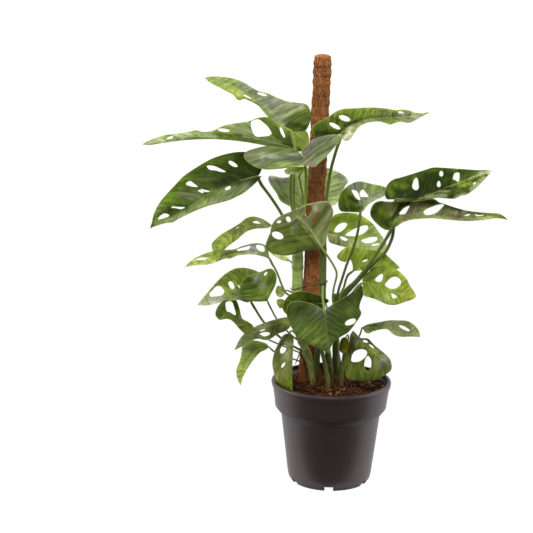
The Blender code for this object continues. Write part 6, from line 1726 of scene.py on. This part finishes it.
def foot_root(rng, line, radii, starts):
    """A thin root that leaves a stem's foot and wanders over the soil."""
    i, a = rng.choice(starts), rng.uniform(*FOOT_TURN)
    out = outward(a)
    first = line[i] + out * radii[i] * 0.9
    x, y = first.x + out.x * FOOT_START, first.y + out.y * FOOT_START
    path = [first, Vector((x, y, max(first.z - FOOT_DROP, soil_height(x, y) + 1.0)))]
    for _ in range(rng.randint(*FOOT_STEPS)):
        a += rng.gauss(0.0, FOOT_WANDER)
        x, y = x + FOOT_STEP * math.cos(a), y + FOOT_STEP * math.sin(a)
        if math.hypot(x, y) > FOOT_LIMIT:
            break
        drop = max(path[-1].z - FOOT_DROP, soil_height(x, y) + rng.uniform(0.2, 1.2))
        path.append(Vector((x, y, drop)))
    fine = fine_line(path, 1.6)
    return tube(fine, tapered(rng.uniform(*FOOT_RADIUS), FOOT_TIP, len(fine)), 6)


def hanging_root(rng, line, radii, starts):
    """A root that hangs from a stem to the soil, spreading a little."""
    i, a = rng.choice(starts), rng.uniform(0.1, 0.9) * math.pi
    at = line[i] + outward(a) * radii[i] * 0.8
    path, foot = [at], soil_height(at.x, at.y)
    for share in (0.2, 0.45, 0.7, 1.0):
        wander = Vector((rng.gauss(0, HANG_DRIFT), rng.gauss(0, HANG_DRIFT), 0.0))
        out = outward(a) * HANG_SPREAD * share ** 0.5
        path.append(at + out + wander + Vector((0, 0, (foot - 0.5 - at.z) * share)))
    fine = fine_line(path, 2.0)
    return tube(fine, tapered(rng.uniform(*HANG_RADIUS), HANG_TIP, len(fine)), 6)


def coir_tuft(rng, pole, level):
    """A loose fibre that falls from the coir to the soil."""
    a, height = rng.uniform(0, math.tau), level + rng.uniform(*TUFT_HEIGHT)
    out = pole.away(a)
    first = pole.at(height, a, coir_radius(height, a) - TUFT_ROOT)
    reach = TUFT_REACH[0] + TUFT_REACH[1] * rng.random() ** 3
    wander = rng.gauss(0.0, TUFT_DRIFT)
    across = Vector((-out.y, out.x, 0.0))
    path = []
    for share in (0.0, 0.25, 0.5, 0.75, 1.0):
        at = first + out * reach * share + across * wander * share * share
        fall = (first.z - soil_height(at.x, at.y)) * share ** 1.3
        path.append(Vector((at.x, at.y, first.z - fall + 0.3)))
    return tube(path, TUFT_RADII, 3)


def dress_feet(root, coir):
    """Thin roots round the stems' feet, and loose coir round the pole's."""
    rng = random.Random(FEET_SEED)
    parts = []
    for name in STEMS:
        line, radii = stem_bar(name)
        lift = [p.z - SOIL_TOP for p in line]
        low = [i for i, z in enumerate(lift) if 1.0 < z < FOOT_REACH]
        parts += [foot_root(rng, line, radii, low) for _ in range(FOOT_ROOTS)]
        high = [i for i, z in enumerate(lift) if FOOT_REACH < z < HANG_REACH]
        parts += [hanging_root(rng, line, radii, high) for _ in range(HANG_ROOTS if high else 0)]
    make_piece("foot_roots", [], "root", *gather(parts), [root])
    pole = Pole()
    level = (pole_point(SOIL_TOP) - pole.foot).length
    tufts = [coir_tuft(rng, pole, level) for _ in range(TUFT_COUNT)]
    make_piece("foot_coir", [], "coir", *gather(tufts), [coir], {"seed": seeds_of(tufts, rng)})


def on_soil(across, down):
    """Point of the soil that is seen at (across, down)."""
    ray = (spot(across, down, 0.0) - EYE).normalized()
    reach, farthest = SEARCH_SPAN
    while (EYE + ray * reach).z > soil_height(*(EYE + ray * reach).xy) and reach < farthest:
        reach += SEARCH_STEP
    return EYE + ray * reach


def root_bar(points, first, last):
    fine = fine_line(points, 1.5)
    return tube(fine, tapered(first, last, len(fine)), 9)


def dress_roots(material):
    for name, root in ROOTS.items():
        path = [spot(*at) for at in root["path"]]
        parts = [root_bar([stem_seat(*root["root"], path[0])] + path, *root["radius"])]
        if root["fork"]:
            parts.append(root_bar([spot(*at) for at in root["fork"]], *root["radius"]))
        make_piece("dressed_" + name, [name], "root", *gather(parts), [material])
    lift = Vector((0, 0, LYING_ROOT_RADIUS + LYING_ROOT_LIFT))
    lying = root_bar([on_soil(*at) + lift for at in LYING_ROOT],
                     LYING_ROOT_RADIUS, LYING_ROOT_RADIUS * 0.6)
    make_piece("dressed_root_on_soil", ["root_on_soil"], "root", *lying, [material])


def dress_tie(material):
    """The tie lies round the outermost of the pole and the two climbing stems."""
    rings = [(pole_point(spot(*TIE_PLACE).z), COIR_RADIUS)]
    for name in ("stem_left", "stem_right"):
        line = smooth_line(STEMS[name], STALK_STEP)
        at = min(line, key=lambda point: abs(point[1] - TIE_PLACE[1]))
        rings.append((spot(*at[:3]), at[3]))
    points = []
    for k in range(TIE_POINTS):
        out = outward(math.tau * k / TIE_POINTS)
        centre, radius = max(rings, key=lambda ring: ring[0].dot(out) + ring[1])
        point = centre + out * (radius + TIE_WIRE_RADIUS + TIE_GAP)
        point.z = rings[0][0].z + TIE_SLOPE * (point.x - rings[0][0].x)
        points.append(point)
    make_piece("dressed_tie_wire", ["tie_wire"], "wire",
               *tube(points, [TIE_WIRE_RADIUS] * len(points), 10, True), [material])


class Nodes:
    """Short hand for building one node material. A colour can be the name of a paint."""

    def __init__(self, name):
        self.material = bpy.data.materials.new(name)
        self.material.use_nodes = True
        self.tree = self.material.node_tree
        self.shader = self.tree.nodes["Principled BSDF"]

    def add(self, kind, inputs=None, **settings):
        node = self.tree.nodes.new(kind)
        for key, value in settings.items():
            setattr(node, key, value)
        for key, value in (inputs or {}).items():
            self.feed(node.inputs[key], value)
        return node

    def feed(self, socket, value):
        if isinstance(value, bpy.types.NodeSocket):
            self.tree.links.new(value, socket)
        else:
            socket.default_value = (*PAINTS[value], 1.0) if isinstance(value, str) else value

    def attribute(self, name, output="Fac"):
        return self.add("ShaderNodeAttribute", attribute_name=name).outputs[output]

    def maths(self, operation, *values):
        return self.add("ShaderNodeMath", dict(enumerate(values)), operation=operation).outputs[0]

    def times(self, first, second):
        return self.maths("MULTIPLY", first, second)

    def plus(self, first, second):
        return self.maths("ADD", first, second)

    def span(self, value, low, high, first=0.0, last=1.0):
        return self.add("ShaderNodeMapRange", {0: value, 1: low, 2: high, 3: first, 4: last},
                        clamp=True).outputs[0]

    def mix(self, factor, first, last, kind="MIX"):
        node = self.add("ShaderNodeMix", data_type="RGBA", blend_type=kind)
        self.feed(node.inputs[0], factor)
        self.feed(node.inputs[6], first)
        self.feed(node.inputs[7], last)
        return node.outputs[2]

    def noise(self, vector, scale, detail=3.0, rough=0.5):
        return self.add("ShaderNodeTexNoise", {"Vector": vector, "Scale": scale, "Detail": detail,
                                               "Roughness": rough}).outputs[0]

    def blotch(self, vector, scale, low, high, detail=3.0, rough=0.5):
        """Noise, stretched so that low becomes 0 and high 1."""
        return self.span(self.noise(vector, scale, detail, rough), low, high)

    def vector(self, x, y, z):
        return self.add("ShaderNodeCombineXYZ", {0: x, 1: y, 2: z}).outputs[0]

    def split(self, vector):
        return self.add("ShaderNodeSeparateXYZ", {0: vector}).outputs

    def scaled(self, vector, level):
        return self.add("ShaderNodeVectorMath", {0: vector, "Scale": level},
                        operation="SCALE").outputs[0]

    def place(self):
        """Position in mm."""
        spot_of = self.add("ShaderNodeTexCoord").outputs["Object"]
        return self.add("ShaderNodeVectorMath", {0: spot_of, 1: (1000.0, 1000.0, 1000.0)},
                        operation="MULTIPLY").outputs[0]

    def drawn_up(self, parts, wide, tall):
        """Position for a pattern that is drawn out along the height."""
        return self.vector(self.times(parts[0], wide), self.times(parts[1], wide),
                           self.times(parts[2], tall))

    def bump(self, height, distance, strength=1.0):
        node = self.add("ShaderNodeBump", {"Height": height, "Distance": distance * MM,
                                           "Strength": strength})
        self.tree.links.new(node.outputs[0], self.shader.inputs["Normal"])

    def finish(self, colour, roughness, **others):
        self.feed(self.shader.inputs["Base Color"], colour)
        self.feed(self.shader.inputs["Roughness"], roughness)
        for key, value in others.items():
            self.feed(self.shader.inputs[key.replace("_", " ")], value)
        return self.material


def grey(level):
    return (level, level, level, 1.0)


def leaf_material():
    n = Nodes("leaf_blade")
    tint = n.attribute("tint", "Color")
    below = n.attribute("below")
    seed = n.attribute("seed")
    course, width, edge = n.split(n.attribute("grain", "Vector"))

    def along_veins(across, along, shift):
        return n.vector(n.times(course, across), n.times(width, along), n.plus(seed, shift))

    streaks = n.blotch(along_veins(3.2, 0.07, 0.0), 1.0, 0.33, 0.7, 4.0, 0.6)
    fine = n.blotch(along_veins(11.0, 0.16, 0.0), 1.0, 0.3, 0.7)
    wide = n.blotch(along_veins(1.1, 0.05, 3.0), 1.0, 0.32, 0.68, 2.0)
    hue = n.blotch(along_veins(2.0, 0.045, 7.0), 1.0, 0.42, 0.66)
    cloud = n.blotch(n.place(), 0.06, 0.3, 0.7, 4.0, 0.6)
    cells = n.add("ShaderNodeTexVoronoi", {"Vector": n.place(), "Scale": 0.45},
                  feature="DISTANCE_TO_EDGE").outputs["Distance"]
    off_vein = n.maths("ABSOLUTE", n.maths("SUBTRACT", n.maths("FRACT", n.plus(course, 50.5)), 0.5))
    # level lightens and darkens the tint in streaks along the side veins: partly random tone, partly
    # painted light and shade of the puckered surface and its sheen
    level = n.times(n.span(streaks, 0.0, 1.0, 0.70, 1.34), n.span(fine, 0.0, 1.0, 0.78, 1.2))
    level = n.times(level, n.span(cloud, 0.0, 1.0, 0.74, 1.2))
    level = n.times(level, n.span(wide, 0.0, 1.0, 0.70, 1.28))
    colour = n.scaled(tint, level)
    deeper = n.mix(1.0, colour, "leaf_depth", "MULTIPLY")
    colour = n.mix(n.times(hue, 0.6), colour, deeper)
    # pale: the vein colour, used for the veins, net and rib and also for painted sheen. bright: painted
    # sheen, light streaks along the side veins
    pale = n.mix(0.80, "leaf_vein_and_sheen", tint)
    bright = n.times(n.span(streaks, 0.55, 1.0), n.span(wide, 0.5, 1.0, 0.1, 0.5))
    for share, shade in ((bright, pale), (n.span(cells, 0.0, 0.12, 0.10, 0.0), pale),
                         (n.times(n.span(off_vein, 0.05, 0.0), 0.17), pale),
                         (n.times(n.span(width, 1.1, 0.35), 0.40), pale),
                         (n.times(n.span(edge, 0.9, 0.1), 0.50), "leaf_margin"),
                         (n.times(below, 0.30), "leaf_under")):
        colour = n.mix(share, colour, shade)
    colour = n.mix(1.0, colour, "leaf_warmth", "MULTIPLY")
    height = n.plus(n.times(streaks, 0.5), n.span(cells, 0.0, 0.4, 0.0, 0.12))
    n.bump(n.times(height, n.attribute("even")), 0.25, 0.7)
    rough = n.plus(n.span(streaks, 0.0, 1.0, 0.46, 0.36), n.times(below, 0.15))
    return n.finish(colour, rough, Specular_IOR_Level=0.03, Subsurface_Weight=0.35,
                    Subsurface_Radius=LEAF_GLOW, Subsurface_Scale=MM)


def stalk_material():
    n = Nodes("leaf_stalk")
    place = n.place()
    speck = n.blotch(place, 0.9, 0.35, 0.7, 4.0)
    patch = n.blotch(place, 0.12, 0.3, 0.7)
    colour = n.mix(n.span(speck, 0.0, 1.0, 0.0, 0.25), n.attribute("tint", "Color"), "stalk_speck")
    colour = n.mix(n.span(patch, 0.0, 1.0, 0.3, 0.0), colour, "stalk_dark")
    n.bump(speck, 0.15, 0.5)
    return n.finish(colour, 0.42, Specular_IOR_Level=0.25)


def stem_material():
    n = Nodes("stem_skin")
    place = n.place()
    parts = n.split(place)
    streak = n.blotch(n.drawn_up(parts, 0.8, 0.05), 1.0, 0.3, 0.7, 4.0)
    speck = n.blotch(place, 0.7, 0.52, 0.72, 5.0, 0.7)
    tint = n.attribute("tint", "Color")
    colour = n.mix(streak, n.mix(1.0, tint, "stem_depth", "MULTIPLY"), tint)
    colour = n.mix(n.times(n.attribute("mark"), 0.55), colour, "stem_scar")
    colour = n.mix(n.times(speck, 0.5), colour, "stem_speck")
    height = n.plus(parts[2], n.times(n.noise(place, 0.12), 50.0))
    # Darker brown towards the soil: partly the stems' own brown foot, partly painted shade among the
    # crowded stems
    low = n.span(height, SOIL_TOP + 16.0, SOIL_TOP + 62.0, 0.75, 0.0)
    colour = n.mix(low, colour, "stem_foot_brown_and_shade")
    n.bump(n.plus(streak, speck), 0.25, 0.6)
    return n.finish(colour, 0.45)


def root_material():
    n = Nodes("root_skin")
    speck = n.blotch(n.place(), 0.8, 0.3, 0.75, 5.0, 0.7)
    n.bump(speck, 0.3, 0.7)
    return n.finish(n.mix(speck, "root_dark", "root_light"), 0.7, Specular_IOR_Level=0.2)


def coir_material():
    n = Nodes("coir_fibre")
    place = n.place()
    parts = n.split(place)
    strand = n.blotch(n.drawn_up(parts, 1.3, 0.09), 1.0, 0.3, 0.7, 5.0, 0.7)
    patch = n.blotch(place, 0.05, 0.35, 0.68, 4.0, 0.6)
    fleck = n.blotch(place, 1.6, 0.5, 0.7, 4.0, 0.7)
    colour = n.mix(strand, "coir_dark", "coir_light")
    colour = n.mix(n.span(patch, 0.0, 1.0, 0.4, 0.0), colour, "coir_patch")
    colour = n.mix(n.times(fleck, 0.45), colour, "coir_fleck")
    # level: seed brightness times painted light, which makes the lower coir lighter where the leaves
    # shade it
    level = n.times(n.span(n.attribute("seed"), 0.0, 1.0, 0.4, 1.9),
                    n.span(parts[2], COIR_PAINTED_LIGHT_FULL, COIR_PAINTED_LIGHT_END, COIR_PAINTED_LIGHT, 1.0))
    n.bump(n.plus(strand, n.times(fleck, 0.5)), 0.9, 0.9)
    return n.finish(n.scaled(colour, level), 0.85, Specular_IOR_Level=0.15)


def thread_material():
    n = Nodes("winding_thread")
    twist = n.blotch(n.place(), 1.5, 0.35, 0.7)
    n.bump(twist, 0.2, 0.6)
    return n.finish(n.mix(twist, "thread_dark", "thread_light"), 0.7)


def soil_material():
    n = Nodes("potting_soil")
    crumb = n.blotch(n.place(), 0.5, 0.35, 0.7, 6.0, 0.7)
    seed = n.attribute("seed")
    # The soil paints are partly the soil's own dark colour and partly painted shade, darkened for the
    # shade the leaves cast on the soil
    colour = n.mix(crumb, "soil_black", "soil_deep")
    colour = n.mix(n.span(seed, 0.35, 0.75), colour, n.mix(crumb, "soil_brown", "soil_rust"))
    colour = n.mix(n.span(seed, 0.93, 0.99), colour, n.mix(crumb, "soil_straw", "soil_light"))
    n.bump(crumb, 0.8, 0.9)
    return n.finish(colour, 0.9, Specular_IOR_Level=0.1)


def pot_material():
    n = Nodes("nursery_plastic")
    place = n.place()
    fine = n.blotch(place, 0.5, 0.35, 0.7, 5.0, 0.65)
    cloud = n.blotch(place, 0.02, 0.3, 0.7, 4.0)
    dust = n.blotch(place, 0.16, 0.62, 0.78, 6.0, 0.75)
    colour = n.mix(cloud, "pot_black", "pot_brown")
    colour = n.mix(n.times(dust, 0.25), colour, "pot_dust")
    lines = n.maths("SINE", n.times(n.split(place)[2], 2.1))
    n.bump(n.plus(fine, n.times(lines, 0.15)), 0.08, 0.4)
    facing = n.split(n.add("ShaderNodeNewGeometry").outputs["Normal"])[2]
    sheen = n.times(n.span(facing, -0.5, -0.2, 0.3, 0.85), n.span(facing, 0.2, 0.7, 1.0, 0.35))
    return n.finish(colour, n.span(fine, 0.0, 1.0, 0.38, 0.46), Specular_IOR_Level=sheen,
                    Specular_Tint=POT_SHEEN)


def wire_material():
    n = Nodes("tie_coating")
    worn = n.blotch(n.place(), 0.8, 0.4, 0.7, 4.0)
    n.bump(worn, 0.1, 0.4)
    return n.finish(n.mix(worn, "wire_black", "wire_worn"), 0.45)


def stake_material():
    n = Nodes("stake_wood")
    ring = n.blotch(n.drawn_up(n.split(n.place()), 0.9, 0.03), 1.0, 0.3, 0.7, 4.0, 0.6)
    n.bump(ring, 0.3, 0.5)
    return n.finish(n.mix(ring, "stake_dark", "stake_light"), 0.65)


def set_world():
    """White all round, darker on the viewer's side."""
    world = bpy.data.worlds.new("studio")
    bpy.context.scene.world = world
    world.use_nodes = True
    tree = world.node_tree
    background = tree.nodes["Background"]
    course = tree.nodes.new("ShaderNodeTexCoord")
    slant = tree.nodes.new("ShaderNodeVectorMath")
    slant.operation = "DOT_PRODUCT"
    slant.inputs[1].default_value = WORLD_SLANT
    fade = tree.nodes.new("ShaderNodeMapRange")
    fade.interpolation_type = "SMOOTHSTEP"
    for socket, value in zip(fade.inputs[1:5], WORLD_FADE):
        socket.default_value = value
    tree.links.new(course.outputs["Generated"], slant.inputs[0])
    tree.links.new(slant.outputs["Value"], fade.inputs[0])
    tree.links.new(fade.outputs[0], background.inputs["Strength"])
    background.inputs["Color"].default_value = WORLD_COLOUR


def area_light(name, place, aim, size, power):
    lamp = bpy.data.lights.new(name, "AREA")
    lamp.shape = "RECTANGLE"
    lamp.size, lamp.size_y = size
    lamp.energy = power
    lamp.color = LAMP_COLOUR
    thing = bpy.data.objects.new(name, lamp)
    thing.location = place
    thing.rotation_euler = (Vector(aim) - Vector(place)).to_track_quat("-Z", "Y").to_euler()
    bpy.context.scene.collection.objects.link(thing)


def set_floor():
    """White floor that glows evenly and shows no reflection."""
    mesh = bpy.data.meshes.new("floor")
    mesh.from_pydata(FLOOR, [], [[0, 1, 2, 3]])
    floor = bpy.data.objects.new("floor", mesh)
    bpy.context.scene.collection.objects.link(floor)
    material = bpy.data.materials.new("floor_white")
    material.use_nodes = True
    shader = material.node_tree.nodes["Principled BSDF"]
    shader.inputs["Base Color"].default_value = grey(0.0)
    shader.inputs["Emission Color"].default_value = grey(1.0)
    shader.inputs["Emission Strength"].default_value = FLOOR_GLOW
    shader.inputs["Specular IOR Level"].default_value = 0.0
    mesh.materials.append(material)


def set_camera():
    forward, right, up = sight_axes()
    turned = right * math.cos(EYE_ROLL) + up * math.sin(EYE_ROLL)
    raised = up * math.cos(EYE_ROLL) - right * math.sin(EYE_ROLL)
    camera = bpy.data.cameras.new("camera")
    camera.sensor_width = SENSOR
    camera.lens = EYE_FOCAL * SENSOR / (2 * EYE_CENTRE)
    thing = bpy.data.objects.new("camera", camera)
    turn = Matrix((turned, raised, -forward)).transposed().to_4x4()
    thing.matrix_world = Matrix.Translation(EYE * MM) @ turn
    bpy.context.scene.collection.objects.link(thing)
    bpy.context.scene.camera = thing


def dress():
    dress_pot(pot_material())
    dress_soil(soil_material())
    coir = coir_material()
    dress_pole(coir, thread_material())
    dress_stems(stem_material())
    root = root_material()
    dress_roots(root)
    dress_feet(root, coir)
    dress_tie(wire_material())
    blades = [leaf_material(), stalk_material()]
    for order, (name, leaf) in enumerate(LEAVES.items()):
        dress_leaf(name, leaf, order * LEAF_SEED, blades)
    for slot in bpy.data.objects["pole_stake"].material_slots:
        slot.material = stake_material()


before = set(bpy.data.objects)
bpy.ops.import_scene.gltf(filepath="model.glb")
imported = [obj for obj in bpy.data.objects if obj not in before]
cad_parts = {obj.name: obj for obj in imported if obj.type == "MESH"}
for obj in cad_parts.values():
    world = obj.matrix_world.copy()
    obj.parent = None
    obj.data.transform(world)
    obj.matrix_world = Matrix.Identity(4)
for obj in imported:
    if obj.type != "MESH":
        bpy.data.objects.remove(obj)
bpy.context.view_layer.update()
bpy.context.scene.view_settings.view_transform = "Standard"
dress()
set_world()
set_floor()
for light in LIGHTS:
    area_light(*light)
set_camera()
